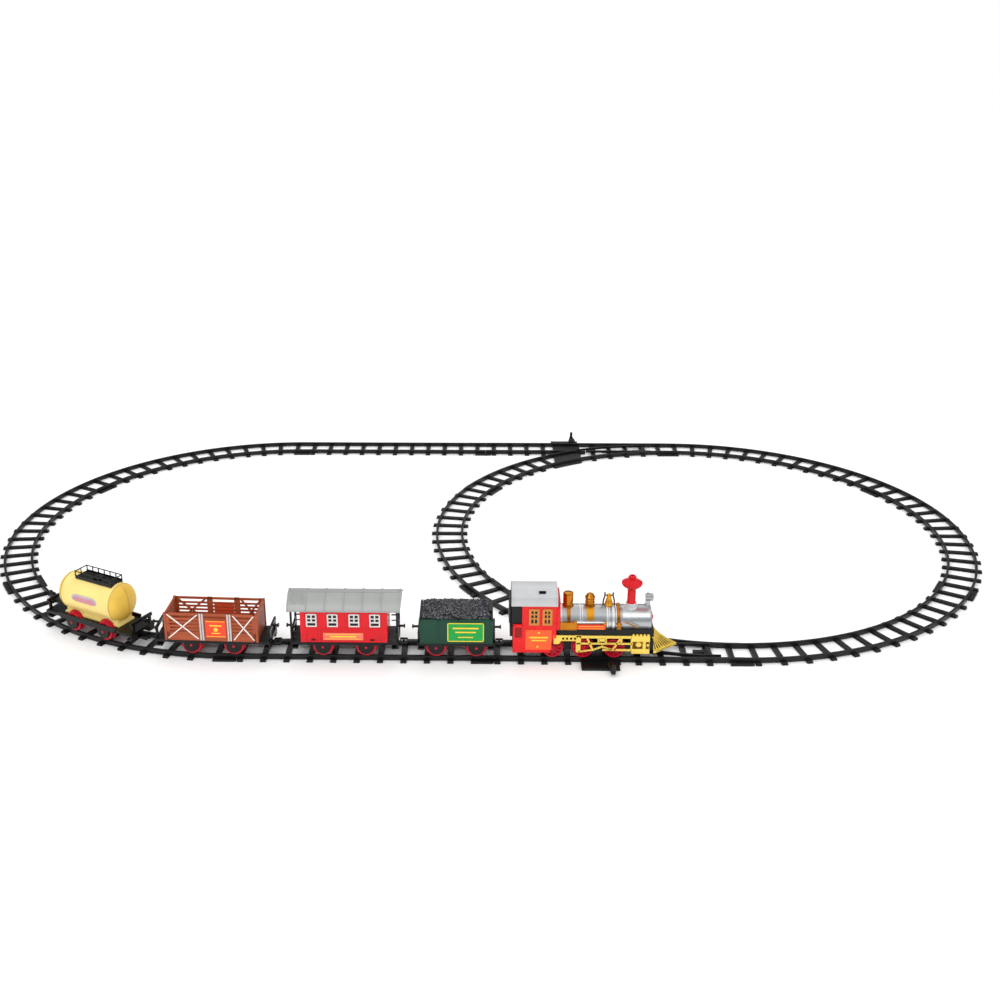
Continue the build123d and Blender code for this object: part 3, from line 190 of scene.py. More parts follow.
def make_materials(colours):
    """Every finish on the train, by the plain name of its stuff."""
    make = MATERIALS
    finishes = (
        # polystyrene track with a fine spark-eroded texture: satin, greyish where light grazes it
        ("track", "black_track_polystyrene", "121213", 0.4, 0.3, 30, 0.5, 0.04),
        # underframes in black ABS, a little glossier than the track
        ("chassis", "black_underframe_abs", "0E0E0F", 0.34, 0.3, 14, 0.6, 0.03),
        # wheels in crimson acetal: waxy gloss
        ("wheel", "crimson_acetal", colours.wheels, 0.3, 0.12, 9, 0.6, 0.02),
        # engine cab and coach walls in bright red ABS from a polished mould
        ("cab", "cab_red_abs", colours.cab, 0.27, 0.06, 22, 0.9, 0.02, 0, 0.2),
        ("coach", "coach_red_abs", colours.coach, 0.33, 0.08, 24, 0.9, 0.03, 0, 0.1),
        # the same red, darkened deep inside recesses as painted shade
        ("recess", "unpolished_red_abs", "8E1210", 0.5, 0.12, 12, 0.8, 0.04),
        # chimney in deep red ABS, the glossiest part of the train
        ("chimney", "chimney_red_abs", "C80010", 0.2, 0.06, 16, 1.2, 0.01, 0, 0.2),
        # boiler in ABS under metallised lacquer: shines softly instead of mirroring
        ("boiler", "metallised_lacquer_on_abs", colours.boiler, 0.27, 0.06, 26, 0.8, 0.02, 0.7),
        ("bright", "bright_silver_lacquer", "E6E8E8", 0.22, 0.05, 10, 0.8, 0.02, 0.6),
        # roofs: silver-grey paint with fine flake
        ("roof", "silver_roof_paint", "9EA09E", 0.42, 0.04, 20, 0.35, 0.03, 0.25),
        ("cab_roof", "pale_silver_roof_paint", "BDBFC0", 0.36, 0.04, 20, 0.35, 0.03, 0.25),
        ("window", "window_grey_abs", "D2CFCD", 0.4, 0.05, 10, 0.7, 0.02),
        # near-black glossy sheet: painted shade of the unlit inside, seen through windows and slots
        ("pane", "dark_inside_seen_through_pane", "140808", 0.18, 0.3, 8, 1.0, 0.01),
        # vacuum-plated domes: warm metal with a slightly wavy skin
        ("copper", "copper_plated_abs", "C07A22", 0.2, 0.1, 9, 0.7, 0.02, 0.9),
        ("amber", "amber_plated_abs", "E09A24", 0.24, 0.08, 9, 0.7, 0.02, 0.7),
        ("bronze", "dark_bronze_plated_abs", "624218", 0.3, 0.15, 7, 0.7, 0.02, 0.85),
        ("tan", "tan_window_paint", "C8823E", 0.4, 0.08, 8, 0.6, 0.02, 0.2),
        # pale gold plating on frames and cowcatcher, softer than the domes
        ("gold", "pale_gold_plated_abs", colours.gold, 0.28, 0.06, 12, 0.6, 0.02, 0.6),
        ("green", "dark_green_abs", colours.tender, 0.34, 0.1, 20, 0.8, 0.03, 0, 0.15),
        # wagon in terracotta ABS moulded with wood grain that runs along the planks
        ("brown", "terracotta_abs_planks", colours.wagon, 0.46, 0.14, 5, 0.8, 0.07, 0, 0, (0.12, 1, 1)),
        ("post", "light_grey_post_paint", "C4BFBC", 0.5, 0.07, 12, 0.6, 0.03),
        ("brace", "white_brace_paint", "F0EBE4", 0.45, 0.05, 9, 0.6, 0.03),
        # tank in pale yellow polypropylene
        ("tank", "pale_yellow_polypropylene", colours.tank, 0.4, 0.05, 34, 0.9, 0.03),
        ("tank_end", "amber_polypropylene", "DDB448", 0.4, 0.08, 20, 0.9, 0.03),
        ("seam", "olive_grey_abs", "C6A548", 0.45, 0.08, 12, 0.7, 0.03),
        # drive parts
        ("steel", "plated_motor_steel", "A8A8A6", 0.28, 0.08, 8, 0.5, 0.02, 1.0),
        ("nylon", "white_gear_nylon", "E2DFD6", 0.5, 0.04, 8, 0.6, 0.02),
        ("battery", "blue_battery_sleeve", "1A3C60", 0.3, 0.1, 8, 0.6, 0.02, 0.3),
    )
    for key, *finish in finishes:
        make[key] = dress(*finish)
    make["coal"] = coal_material()
    # the tank's polypropylene lets a little light in
    tree = make["tank"].node_tree
    feed(tree, tree.nodes["Principled BSDF"], {"Subsurface Weight": 0.12, "Subsurface Scale": 0.004,
        "Subsurface Radius": (1.0, 0.6, 0.2)})
    # printed labels: gloss paper under clear film
    for name, code in (("orange", "F25A26"), ("yellow", "FBCB34"), ("label", "0A9A3E"),
            ("salmon", "F5705A"), ("ember", "EE4424"), ("lilac", "B4AEB6"), ("rose", "C4828C")):
        make[name] = dress(f"printed_{name}_label", code, 0.3, 0.05, 6, 0.5, 0.01, 0, 0.3)


def coal_material():
    """Lump coal moulded in black styrene: dark, with small facets that catch the light, and random chips painted
    lighter grey as highlights on them.
    """
    material, tree, shader = new_material("black_coal_styrene")
    place = add(tree, "ShaderNodeTexCoord")
    chips = add(tree, "ShaderNodeTexVoronoi", {"Vector": place.outputs["Object"], "Scale": 1 / (1.3 * MM)})
    # lighter grey chips: painted highlights standing for facets that catch the light
    tone = ramp(tree, chips.outputs["Color"], (0.45, linear("08080A")), (0.95, linear("85858C")))
    gloss = add(tree, "ShaderNodeMapRange", {"Value": chips.outputs["Distance"], "From Max": 0.9,
        "To Min": 0.12, "To Max": 0.5})
    relief = add(tree, "ShaderNodeBump", {"Height": chips.outputs["Distance"], "Strength": 0.8,
        "Distance": 0.2 * MM})
    feed(tree, shader, {"Base Color": tone, "Roughness": gloss, "Normal": relief})
    return material


# ------------------------------------------------------------------ mesh building

class Shape:
    """A mesh under construction, in a vehicle's own millimetres."""

    def __init__(self, *spans, twice=False):
        self.mesh = bmesh.new()
        self.last = []
        self.slabs(*spans, twice=twice)

    def solid(self, corners, faces):
        """Closed solid from corners and faces; its corners are kept for a later turn."""
        self.last = [self.mesh.verts.new(corner) for corner in corners]
        for face in faces:
            self.mesh.faces.new([self.last[index] for index in face])

    def slab(self, x, y, z):
        """Box from its spans."""
        corners = [(a, b, c) for a in x for b in y for c in z]
        self.solid(corners, ((0, 1, 3, 2), (4, 6, 7, 5), (0, 4, 5, 1), (2, 3, 7, 6), (0, 2, 6, 4),
            (1, 5, 7, 3)))

    def both(self, x, y, z):
        """The same box on the left and on the right."""
        self.slab(x, y, z)
        self.slab(x, (-y[1], -y[0]), z)

    def slabs(self, *spans, twice=False):
        """Boxes, each from its ends in x, y and z; twice puts each one on the other side too."""
        for x0, x1, y0, y1, z0, z1 in spans:
            (self.both if twice else self.slab)((x0, x1), (y0, y1), (z0, z1))

    def prism(self, outline, low, high, axis="y"):
        """Outline drawn in the plane across an axis, given depth along it."""
        order = {"x": lambda a, b, d: (d, a, b), "y": lambda a, b, d: (a, d, b), "z": lambda a, b,
            d: (a, b, d)}
        place = order[axis]
        count = len(outline)
        corners = [place(a, b, low) for a, b in outline] + [place(a, b, high) for a, b in outline]
        faces = [tuple(range(count)), tuple(range(2 * count - 1, count - 1, -1))]
        faces += [(i, (i + 1) % count, count + (i + 1) % count, count + i) for i in range(count)]
        self.solid(corners, faces)

    def bar(self, start, end, width, depth):
        """Flat bar in the side view, between two (x, z) points, across a span of y."""
        along = Vector((end[0] - start[0], end[1] - start[1])).normalized() * (width / 2)
        side = Vector((-along.y, along.x))
        a, b = Vector(start), Vector(end)
        self.prism([tuple(a - side), tuple(b - side), tuple(b + side), tuple(a + side)], *depth)

    def sheet(self, rows, columns, corners):
        """Closed sheet from the corners of two grids, one for each of its skins."""
        wide, layer = columns + 1, (rows + 1) * (columns + 1)
        faces = []
        for a in range(rows):
            for b in range(columns):
                quad = (a * wide + b, a * wide + b + 1, (a + 1) * wide + b + 1, (a + 1) * wide + b)
                faces += [quad, tuple(layer + k for k in reversed(quad))]
        loop = ([*range(columns)] + [a * wide + columns for a in range(rows)]
            + [rows * wide + b for b in range(columns, 0, -1)] + [a * wide for a in range(rows, 0, -1)])
        for one, two in zip(loop, loop[1:] + loop[:1]):
            faces.append((two, one, layer + one, layer + two))
        self.solid(corners, faces)

    def turned(self, profile, centre, axis="z", steps=32):
        """Closed turned body from (radius, height) points that start and end on the axis."""
        rings = []
        for radius, height in profile:
            ring = []
            for step in range(steps if radius > 1e-6 else 1):
                angle = 2 * math.pi * step / steps
                a, b = radius * math.cos(angle), radius * math.sin(angle)
                point = {"z": (a, b, height), "x": (height, a, b), "y": (a, height, b)}[axis]
                ring.append(self.mesh.verts.new([point[i] + centre[i] for i in range(3)]))
            rings.append(ring)
        for low, high in zip(rings, rings[1:]):
            for step in range(steps):
                following = (step + 1) % steps
                if len(low) == 1:
                    self.mesh.faces.new((low[0], high[step], high[following]))
                elif len(high) == 1:
                    self.mesh.faces.new((low[step], high[0], low[following]))
                else:
                    self.mesh.faces.new((low[step], high[step], high[following], low[following]))
        self.last = [vertex for ring in rings for vertex in ring]

    def disc(self, radius, low, high, centre, axis, steps):
        """Round disc from low to high along an axis."""
        self.turned(((0, low), (radius, low), (radius, high), (0, high)), centre, axis, steps)

    def rod(self, points, radius, sides=10):
        """Round rod along a path of points, with closed ends."""
        path = [Vector(point) for point in points]
        rings = []
        across = None
        for index, point in enumerate(path):
            along = (path[min(index + 1, len(path) - 1)] - path[max(index - 1, 0)]).normalized()
            across = along.orthogonal() if across is None else across - along * across.dot(along)
            across.normalize()
            other = along.cross(across)
            turns = [2 * math.pi * side / sides for side in range(sides)]
            rings.append([self.mesh.verts.new(point + radius * (across * math.cos(turn) + other
                * math.sin(turn))) for turn in turns])
        for low, high in zip(rings, rings[1:]):
            for side in range(sides):
                following = (side + 1) % sides
                self.mesh.faces.new((low[side], low[following], high[following], high[side]))
        self.mesh.faces.new(rings[0][::-1])
        self.mesh.faces.new(rings[-1])
        self.last = [vertex for ring in rings for vertex in ring]

    def turn_last(self, degrees, axis, centre):
        """Turn the solid made last about a line through centre."""
        bmesh.ops.rotate(self.mesh, verts=self.last, cent=centre,
            matrix=Matrix.Rotation(math.radians(degrees), 3, axis))

    def mirror(self, axis=1):
        """Add the mirror image across the vehicle's middle."""
        copy = bmesh.ops.duplicate(self.mesh, geom=self.mesh.verts[:] + self.mesh.edges[:]
            + self.mesh.faces[:])
        for element in copy["geom"]:
            if isinstance(element, bmesh.types.BMVert):
                element.co[axis] = -element.co[axis]

    def data(self, name):
        """The finished mesh, still in millimetres."""
        bmesh.ops.recalc_face_normals(self.mesh, faces=self.mesh.faces[:])
        made = bpy.data.meshes.new(name)
        self.mesh.to_mesh(made)
        self.mesh.free()
        return made

    def piece(self, name, material, bevel, *replaces):
        """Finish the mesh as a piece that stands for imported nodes; its name starts with its vehicle's."""
        body = name.split("_")[0].lower()
        return mounted(name, self.data(name), body, body, material, replaces, bevel)


SHARP = math.radians(34)


def mounted(name, data, place, body, material, replaces=(), bevel=0.25):
    """Put a mesh in millimetres in place, shade and soften it, and hang it on its body."""
    data.transform(PLACES[place])
    data.materials.clear()
    data.materials.append(MATERIALS[material])
    data.polygons.foreach_set("use_smooth", [True] * len(data.polygons))
    data.set_sharp_from_angle(angle=SHARP)
    made = placed(name, data)
    if bevel:
        rounding = made.modifiers.new("soft edges", "BEVEL")
        rounding.width = bevel * MM
        rounding.segments = 2
        rounding.limit_method = "ANGLE"
        rounding.angle_limit = SHARP
        rounding.harden_normals = True
    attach(made, body)
    if replaces:
        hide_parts(*replaces)
    return made


def softened(name, node, material, bevel=0.3):
    """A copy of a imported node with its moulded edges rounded, standing for it."""
    mesh = bmesh.new()
    mesh.from_mesh(NODES[node].data)
    bmesh.ops.remove_doubles(mesh, verts=mesh.verts[:], dist=0.00001)
    bmesh.ops.dissolve_limit(mesh, angle_limit=math.radians(0.5), verts=mesh.verts[:], edges=mesh.edges[:])
    bmesh.ops.recalc_face_normals(mesh, faces=mesh.faces[:])
    data = bpy.data.meshes.new(name)
    mesh.to_mesh(data)
    mesh.free()
    data.transform(PLACES["layout"].inverted())
    return mounted(name, data, "layout", BODY_OF[node], material, (node,), bevel)


# ------------------------------------------------------------------ node trees for repeats

def new_tree(name, sockets):
    """A geometry tree with named inputs: returns the tree and its input node."""
    tree = bpy.data.node_groups.new(name, "GeometryNodeTree")
    tree.interface.new_socket(name="Geometry", in_out="INPUT", socket_type="NodeSocketGeometry")
    for label, kind in sockets:
        tree.interface.new_socket(name=label, in_out="INPUT", socket_type=kind)
    tree.interface.new_socket(name="Material", in_out="INPUT", socket_type="NodeSocketMaterial")
    tree.interface.new_socket(name="Geometry", in_out="OUTPUT", socket_type="NodeSocketGeometry")
    return tree, add(tree, "NodeGroupInput")


def close_tree(tree, start, geometry):
    """End a tree: make the copies real and give them their material."""
    real = add(tree, "GeometryNodeRealizeInstances", {"Geometry": geometry})
    painted = add(tree, "GeometryNodeSetMaterial", {"Geometry": real,
        "Material": start.outputs["Material"]})
    add(tree, "NodeGroupOutput", {"Geometry": painted})


def row_tree():
    """Copies of a shape in a straight row."""
    tree, start = new_tree("row of copies", (("Count", "NodeSocketInt"), ("Step", "NodeSocketVector")))
    line = add(tree, "GeometryNodeMeshLine", {"Count": start.outputs["Count"], "Start Location": (0, 0, 0),
        "Offset": start.outputs["Step"]}, mode="OFFSET")
    copies = add(tree, "GeometryNodeInstanceOnPoints", {"Points": line,
        "Instance": start.outputs["Geometry"]})
    close_tree(tree, start, copies.outputs[0])
    return tree


def ring_tree():
    """Copies of a shape turned about the Y axis, such as spokes round an axle."""
    tree, start = new_tree("ring of copies", (("Count", "NodeSocketInt"), ("Centre", "NodeSocketVector")))
    away = add(tree, "ShaderNodeVectorMath", {0: start.outputs["Centre"], "Scale": -1.0}, operation="SCALE")
    moved = add(tree, "GeometryNodeTransform", {"Geometry": start.outputs["Geometry"], "Translation": away})
    points = add(tree, "GeometryNodeMeshLine", {"Count": start.outputs["Count"],
        "Start Location": start.outputs["Centre"], "Offset": (0, 0, 0)}, mode="OFFSET")
    index = add(tree, "GeometryNodeInputIndex")
    share = maths(tree, "DIVIDE", index, start.outputs["Count"])
    angle = maths(tree, "MULTIPLY", share, 2 * math.pi)
    turn = add(tree, "ShaderNodeCombineXYZ", {"Y": angle})
    copies = add(tree, "GeometryNodeInstanceOnPoints", {"Points": points, "Instance": moved,
        "Rotation": turn})
    close_tree(tree, start, copies.outputs[0])
    return tree


def track_tree():
    """A track section along a centreline: two rails, sleepers across them, and the end tongues."""
    tree, start = new_tree("track section", (("Tongues", "NodeSocketObject"), ("Sleepers", "NodeSocketInt"),
        ("Gauge", "NodeSocketFloat"), ("Rail width", "NodeSocketFloat"), ("Rail foot", "NodeSocketFloat"),
        ("Rail top", "NodeSocketFloat"), ("Sleeper size", "NodeSocketVector"),
        ("Sleeper slope", "NodeSocketFloat")))
    given = start.outputs
    line = add(tree, "GeometryNodeSetCurveNormal", {"Curve": given["Geometry"]}, mode="Z_UP")
    tangent = add(tree, "GeometryNodeInputTangent")
    across = vectors(tree, "CROSS_PRODUCT", tangent, (0, 0, 1))
    joined = add(tree, "GeometryNodeJoinGeometry")
    height = maths(tree, "SUBTRACT", given["Rail top"], given["Rail foot"])
    centre = maths(tree, "ADD", given["Rail top"], given["Rail foot"])
    middle = maths(tree, "MULTIPLY", centre, 0.5)
    profile = add(tree, "GeometryNodeCurvePrimitiveQuadrilateral",
        {"Width": given["Rail width"], "Height": height})
    rounded = add(tree, "GeometryNodeFilletCurve", {"Curve": profile, "Radius": 0.45, "Count": 3},
        mode="POLY")
    for side in (0.5, -0.5):
        reach = maths(tree, "MULTIPLY", given["Gauge"], side)
        aside = add(tree, "ShaderNodeVectorMath", {0: across, "Scale": reach}, operation="SCALE")
        lift = add(tree, "ShaderNodeCombineXYZ", {"Z": middle})
        shift = vectors(tree, "ADD", aside, lift)
        path = add(tree, "GeometryNodeSetPosition", {"Geometry": line, "Offset": shift})
        rail = add(tree, "GeometryNodeCurveToMesh", {"Curve": path, "Profile Curve": rounded,
            "Fill Caps": True})
        tree.links.new(rail.outputs[0], joined.inputs[0])
    half = maths(tree, "DIVIDE", 0.5, given["Sleepers"])
    rest = maths(tree, "SUBTRACT", 1.0, half)
    inner = add(tree, "GeometryNodeTrimCurve", {"Curve": line, "Start": half, "End": rest}, mode="FACTOR")
    spots = add(tree, "GeometryNodeCurveToPoints", {"Curve": inner, "Count": given["Sleepers"]},
        mode="COUNT")
    block = add(tree, "GeometryNodeMeshCube", {"Size": given["Sleeper size"]})
    at = add(tree, "GeometryNodeInputPosition")
    parts = add(tree, "ShaderNodeSeparateXYZ", {0: at})
    upper = maths(tree, "GREATER_THAN", parts.outputs["Z"], 0.0)
    inward = maths(tree, "MULTIPLY", upper, given["Sleeper slope"])
    signs = add(tree, "ShaderNodeVectorMath", {0: at}, operation="SIGN")
    flat = vectors(tree, "MULTIPLY", signs, (-1, -1, 0))
    slope = add(tree, "ShaderNodeVectorMath", {0: flat, "Scale": inward}, operation="SCALE")
    tapered = add(tree, "GeometryNodeSetPosition", {"Geometry": block, "Offset": slope})
    size = add(tree, "ShaderNodeSeparateXYZ", {0: given["Sleeper size"]})
    raised = maths(tree, "MULTIPLY", size.outputs["Z"], 0.5)
    up = add(tree, "ShaderNodeCombineXYZ", {"Z": raised})
    standing = add(tree, "GeometryNodeTransform", {"Geometry": tapered, "Translation": up})
    along = add(tree, "FunctionNodeAlignRotationToVector", {"Vector": spots.outputs["Tangent"]}, axis="X",
        pivot_axis="Z")
    sleepers = add(tree, "GeometryNodeInstanceOnPoints", {"Points": spots.outputs["Points"],
        "Instance": standing, "Rotation": along})
    tree.links.new(sleepers.outputs[0], joined.inputs[0])
    tongues = add(tree, "GeometryNodeObjectInfo", {"Object": given["Tongues"]})
    tree.links.new(tongues.outputs["Geometry"], joined.inputs[0])
    close_tree(tree, start, joined.outputs[0])
    return tree


def coal_tree():
    """Lumps scattered over a mound."""
    tree, start = new_tree("coal lumps", (("Spacing", "NodeSocketFloat"), ("Lump", "NodeSocketFloat"),
        ("Seed", "NodeSocketInt")))
    given = start.outputs
    spots = add(tree, "GeometryNodeDistributePointsOnFaces", {"Mesh": given["Geometry"],
        "Distance Min": given["Spacing"], "Density Max": 2.0, "Seed": given["Seed"]},
        distribute_method="POISSON")
    lump = add(tree, "GeometryNodeMeshIcoSphere", {"Radius": given["Lump"], "Subdivisions": 1})
    turns = add(tree, "FunctionNodeRandomValue", {"Min": (0, 0, 0), "Max": (6.28, 6.28, 6.28),
        "Seed": given["Seed"]}, data_type="FLOAT_VECTOR")
    sizes = add(tree, "FunctionNodeRandomValue", {"Min": (0.6, 0.6, 0.5), "Max": (1.25, 1.15, 1.0),
        "Seed": given["Seed"]}, data_type="FLOAT_VECTOR")
    lumps = add(tree, "GeometryNodeInstanceOnPoints", {"Points": spots.outputs["Points"], "Instance": lump,
        "Rotation": turns, "Scale": sizes})
    joined = add(tree, "GeometryNodeJoinGeometry")
    tree.links.new(lumps.outputs[0], joined.inputs[0])
    tree.links.new(given["Geometry"], joined.inputs[0])
    close_tree(tree, start, joined.outputs[0])
    return tree


TREES = {}


def grown(name, source, kind, values):
    """Run a tree on a mesh or curve in millimetres and return the plain mesh it makes."""
    makers = {"row": row_tree, "ring": ring_tree, "track": track_tree, "coal": coal_tree}
    if kind not in TREES:
        TREES[kind] = makers[kind]()
    tree = TREES[kind]
    holder = placed(f"{name}_source", source)
    modifier = holder.modifiers.new(kind, "NODES")
    modifier.node_group = tree
    for item in tree.interface.items_tree:
        if item.in_out == "INPUT" and item.name in values:
            modifier[item.identifier] = values[item.name]
    evaluated = holder.evaluated_get(bpy.context.evaluated_depsgraph_get())
    made = bpy.data.meshes.new_from_object(evaluated)
    made.name = name
    bpy.data.objects.remove(holder)
    return made


def row(name, shape, count, step, material, bevel=0.0):
    """A straight row of copies of a shape, as one piece; its name starts with its vehicle's."""
    body = name.split("_")[0].lower()
    data = grown(name, shape.data(name), "row", {"Count": count, "Step": step,
        "Material": MATERIALS[material]})
    return mounted(name, data, body, body, material, (), bevel)


def ring(name, shape, count, centre, place, body, material, bevel=0.0):
    """Copies of a shape round an axle, as one piece."""
    data = grown(name, shape.data(name), "ring", {"Count": count, "Centre": centre,
        "Material": MATERIALS[material]})
    return mounted(name, data, place, body, material, (), bevel)


# ------------------------------------------------------------------ settings

def paint(name, description, code):
    """A colour setting whose default is an sRGB hex colour."""
    return FloatVectorProperty(name=name, description=description, subtype="COLOR", size=3, min=0, max=1,
        default=linear(code))


class TrainColours(bpy.types.PropertyGroup):
    """Colours a user may change."""

    cab: paint("Engine red", "Engine cab", "DE1517")
    coach: paint("Coach red", "Coach walls", "D4101C")
    boiler: paint("Boiler silver", "Boiler and smokebox", "B4B8BA")
    gold: paint("Gold", "Side frames and cowcatcher", "F0D060")
    wheels: paint("Wheel red", "All wheels", "B80E28")
    tender: paint("Tender green", "Tender walls", "0A3E2C")
    wagon: paint("Wagon brown", "Open wagon planks", "A04C2C")
    tank: paint("Tank yellow", "Tank shell", "F0D784")


class TrainSizes(bpy.types.PropertyGroup):
    """Sizes a user may change, in millimetres."""

    coal_lump: FloatProperty(name="Coal lump", description="Radius of a coal lump in mm", default=1.5,
        min=0.5, max=3.0)
    coal_spacing: FloatProperty(name="Coal spacing", description="Least distance between lumps in mm",
        default=1.7, min=0.8, max=5.0)
    coal_seed: IntProperty(name="Coal seed", description="Another scatter of the coal", default=7, min=0)
    rail_sleepers: IntProperty(name="Sleepers per straight", description="Sleepers under one straight",
        default=11, min=2, max=40)
    curve_sleepers: IntProperty(name="Sleepers per curve", description="Sleepers under one curve",
        default=13, min=2, max=40)
    spokes: IntProperty(name="Engine wheel spokes", description="Spokes in each engine wheel", default=10,
        min=3, max=24)


# ------------------------------------------------------------------ track

SECTION_LOW, SECTION_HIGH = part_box("straight_back")
TRACK_RADIUS = (SECTION_LOW.y + SECTION_HIGH.y) / 2 / MM
HALF_TRACK = -(SECTION_LOW.x + SECTION_HIGH.x) / MM
GAUGE = 35.2
RAIL_WIDTH = 3.0
RAIL_TOP = SECTION_HIGH.z / MM
SLEEPER = (7.4, 50.7, 3.0)
CURVE_STEPS = 48
TONGUE_REACH = 9.4
TONGUE_ROOT = 15.4


def tongue(shape, end, outward):
    """Joining tongue beside the right-hand rail, seen looking out of a section's end."""
    out = Vector((math.cos(outward), math.sin(outward)))
    right = Vector((out.y, -out.x))
    inner = GAUGE / 2 + RAIL_WIDTH / 2 + 0.4
    outer = inner + 5.6
    outline = ((-TONGUE_ROOT, inner), (TONGUE_REACH - 2, inner), (TONGUE_REACH, inner + 1.6),
        (TONGUE_REACH, outer - 1.6), (TONGUE_REACH - 2, outer), (-TONGUE_ROOT, outer))
    flat = [tuple(end + out * reach + right * aside) for reach, aside in outline]
    shape.prism(flat, 0, 2.6, "z")


def section(node, points, sleepers, headings):
    """One track section on its centreline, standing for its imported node."""
    name = f"Track_{node}"
    curve = bpy.data.curves.new(f"{name}_line", "CURVE")
    curve.dimensions = "3D"
    spline = curve.splines.new("POLY")
    spline.points.add(len(points) - 1)
    for spot, point in zip(spline.points, points):
        spot.co = (*point, 0, 1)
    ends = Shape()
    tongue(ends, Vector(points[0]), headings[0])
    tongue(ends, Vector(points[-1]), headings[1])
    holder = placed(f"{name}_tongues", ends.data(f"{name}_tongues"))
    data = grown(name, curve, "track", {"Tongues": holder, "Sleepers": sleepers, "Gauge": GAUGE,
        "Rail width": RAIL_WIDTH, "Rail foot": 0.8, "Rail top": RAIL_TOP, "Sleeper size": SLEEPER,
        "Sleeper slope": 0.64, "Material": MATERIALS["track"]})
    bpy.data.objects.remove(holder)
    mounted(name, data, "layout", "track", "track", (node,), 0.3)


def track_curve(node, centre, start, sleepers):
    """A 60 degree curve about a point on the X axis."""
    turns = [math.radians(start + 60 * step / CURVE_STEPS) for step in range(CURVE_STEPS + 1)]
    points = [(centre + TRACK_RADIUS * math.cos(turn), TRACK_RADIUS * math.sin(turn)) for turn in turns]
    section(node, points, sleepers, (turns[0] - math.pi / 2, turns[-1] + math.pi / 2))


def build_track(context):
    """Lay the curves and straights."""
    sizes = context.scene.train_sizes
    for side, centre, start in (("left", -HALF_TRACK, 90), ("right", HALF_TRACK, -90)):
        for index in range(3):
            track_curve(f"curve_{side}_{index + 1}", centre, start + 60 * index, sizes.curve_sleepers)
    track_curve("curve_inner", HALF_TRACK, 150, sizes.curve_sleepers)
    for node, side in (("straight_back", 1), ("straight_front", -1)):
        points = [(-HALF_TRACK * (1 - share / 4), side * TRACK_RADIUS) for share in range(5)]
        section(node, points, sizes.rail_sleepers, (math.pi, 0))
    for node in ("switch_back_base", "switch_front_base", "switch_back_blades", "switch_front_blades",
            "switch_back_lever", "switch_front_lever"):
        softened(node.title(), node, "track")


# ------------------------------------------------------------------ wheels

CAR_WHEEL = ((0, 12.9), (3.4, 12.9), (3.4, 13.1), (12.6, 13.1), (13.2, 13.5), (13.1, 14), (11.9, 14.6),
    (11.7, 19.6), (11.3, 20), (9.4, 20), (8.9, 18.6), (3.6, 18.4), (3.2, 20.2), (0, 20.4))
SPOKED_RIM = ((0, 13), (12.6, 13), (13.2, 13.5), (13.1, 14), (11.9, 14.6), (11.7, 19.6), (11.4, 20),
    (10, 20), (9.6, 17.2), (3.6, 17.2), (3.2, 20.4), (1.6, 20.8), (0, 20.8))


def wheelset(joint, place, body, profile):
    """Two wheels and their axle."""
    centre = axle_point(joint, place)
    wheels = Shape()
    wheels.turned(profile, centre, "y", 48)
    wheels.turned([(radius, -height) for radius, height in profile], centre, "y", 48)
    wheels.turned(((0, -23.2), (1.3, -23.2), (1.5, -23), (1.5, 23), (1.3, 23.2), (0, 23.2)), centre, "y",
        20)
    if body == "engine_wheelset_2":
        wheels.prism(gear_outline(centre), centre.y - 9.8, centre.y - 5.8)
    mounted(body.title(), wheels.data(body.title()), place, body, "wheel", (body,), 0)
    return centre


def build_wheels(context):
    """Turn the wheelsets."""
    spokes = context.scene.train_sizes.spokes
    for car in ("tender", "coach", "wagon", "tank"):
        for end in ("front", "rear"):
            wheelset(f"{car}_axle_{end}", car, f"{car}_wheelset_{end}", CAR_WHEEL)
    for index in (1, 2, 3):
        body = f"engine_wheelset_{index}"
        centre = wheelset(f"engine_axle_{index}", "engine", body, SPOKED_RIM)
        spoke = Shape()
        for low, high in ((16.8, 19.3), (-19.3, -16.8)):
            spoke.slab((centre.x - 0.7, centre.x + 0.7), (centre.y + low, centre.y + high),
                (centre.z + 2.4, centre.z + 10.4))
        ring(f"Engine_wheel_spokes_{index}", spoke, spokes, centre, "engine", body, "wheel")


def gear_outline(centre, teeth=24, root=7.6, tip=8.9):
    """Side view of the axle gear."""
    outline = []
    for index in range(teeth * 4):
        radius = tip if index % 4 in (1, 2) else root
        turn = 2 * math.pi * index / (teeth * 4)
        outline.append((centre.x + radius * math.cos(turn), centre.z + radius * math.sin(turn)))
    return outline


# ------------------------------------------------------------------ engine

BOILER_HEIGHT = 47.5
STRAP_INNER, STRAP_MIDDLE, STRAP_OUTER = 16.8, 18.2, 18.35
CHIMNEY_X = 167.3


def boiler_strap(shape, start, end, bottom, width_low=None):
    """Strap over the boiler's top half and down both sides to a height."""
    low = width_low or (start, end)
    steps = 20
    fall = math.degrees(math.asin((bottom - BOILER_HEIGHT) / STRAP_MIDDLE))
    turns = [math.radians(fall + (180 - 2 * fall) * step / steps) for step in range(steps + 1)]
    corners = []
    for turn in turns:
        drop = 1 - math.sin(turn)
        x0 = start + (low[0] - start) * drop
        x1 = end + (low[1] - end) * drop
        for x, radius in ((x0, STRAP_INNER), (x1, STRAP_INNER), (x1, STRAP_OUTER), (x0, STRAP_OUTER)):
            corners.append((x, radius * math.cos(turn), BOILER_HEIGHT + radius * math.sin(turn)))
    faces = [(0, 1, 2, 3), tuple(4 * steps + k for k in (3, 2, 1, 0))]
    for step in range(steps):
        for k in range(4):
            faces.append((4 * step + k, 4 * step + 4 + k, 4 * step + 4 + (k + 1) % 4,
                4 * step + (k + 1) % 4))
    shape.solid(corners, faces)


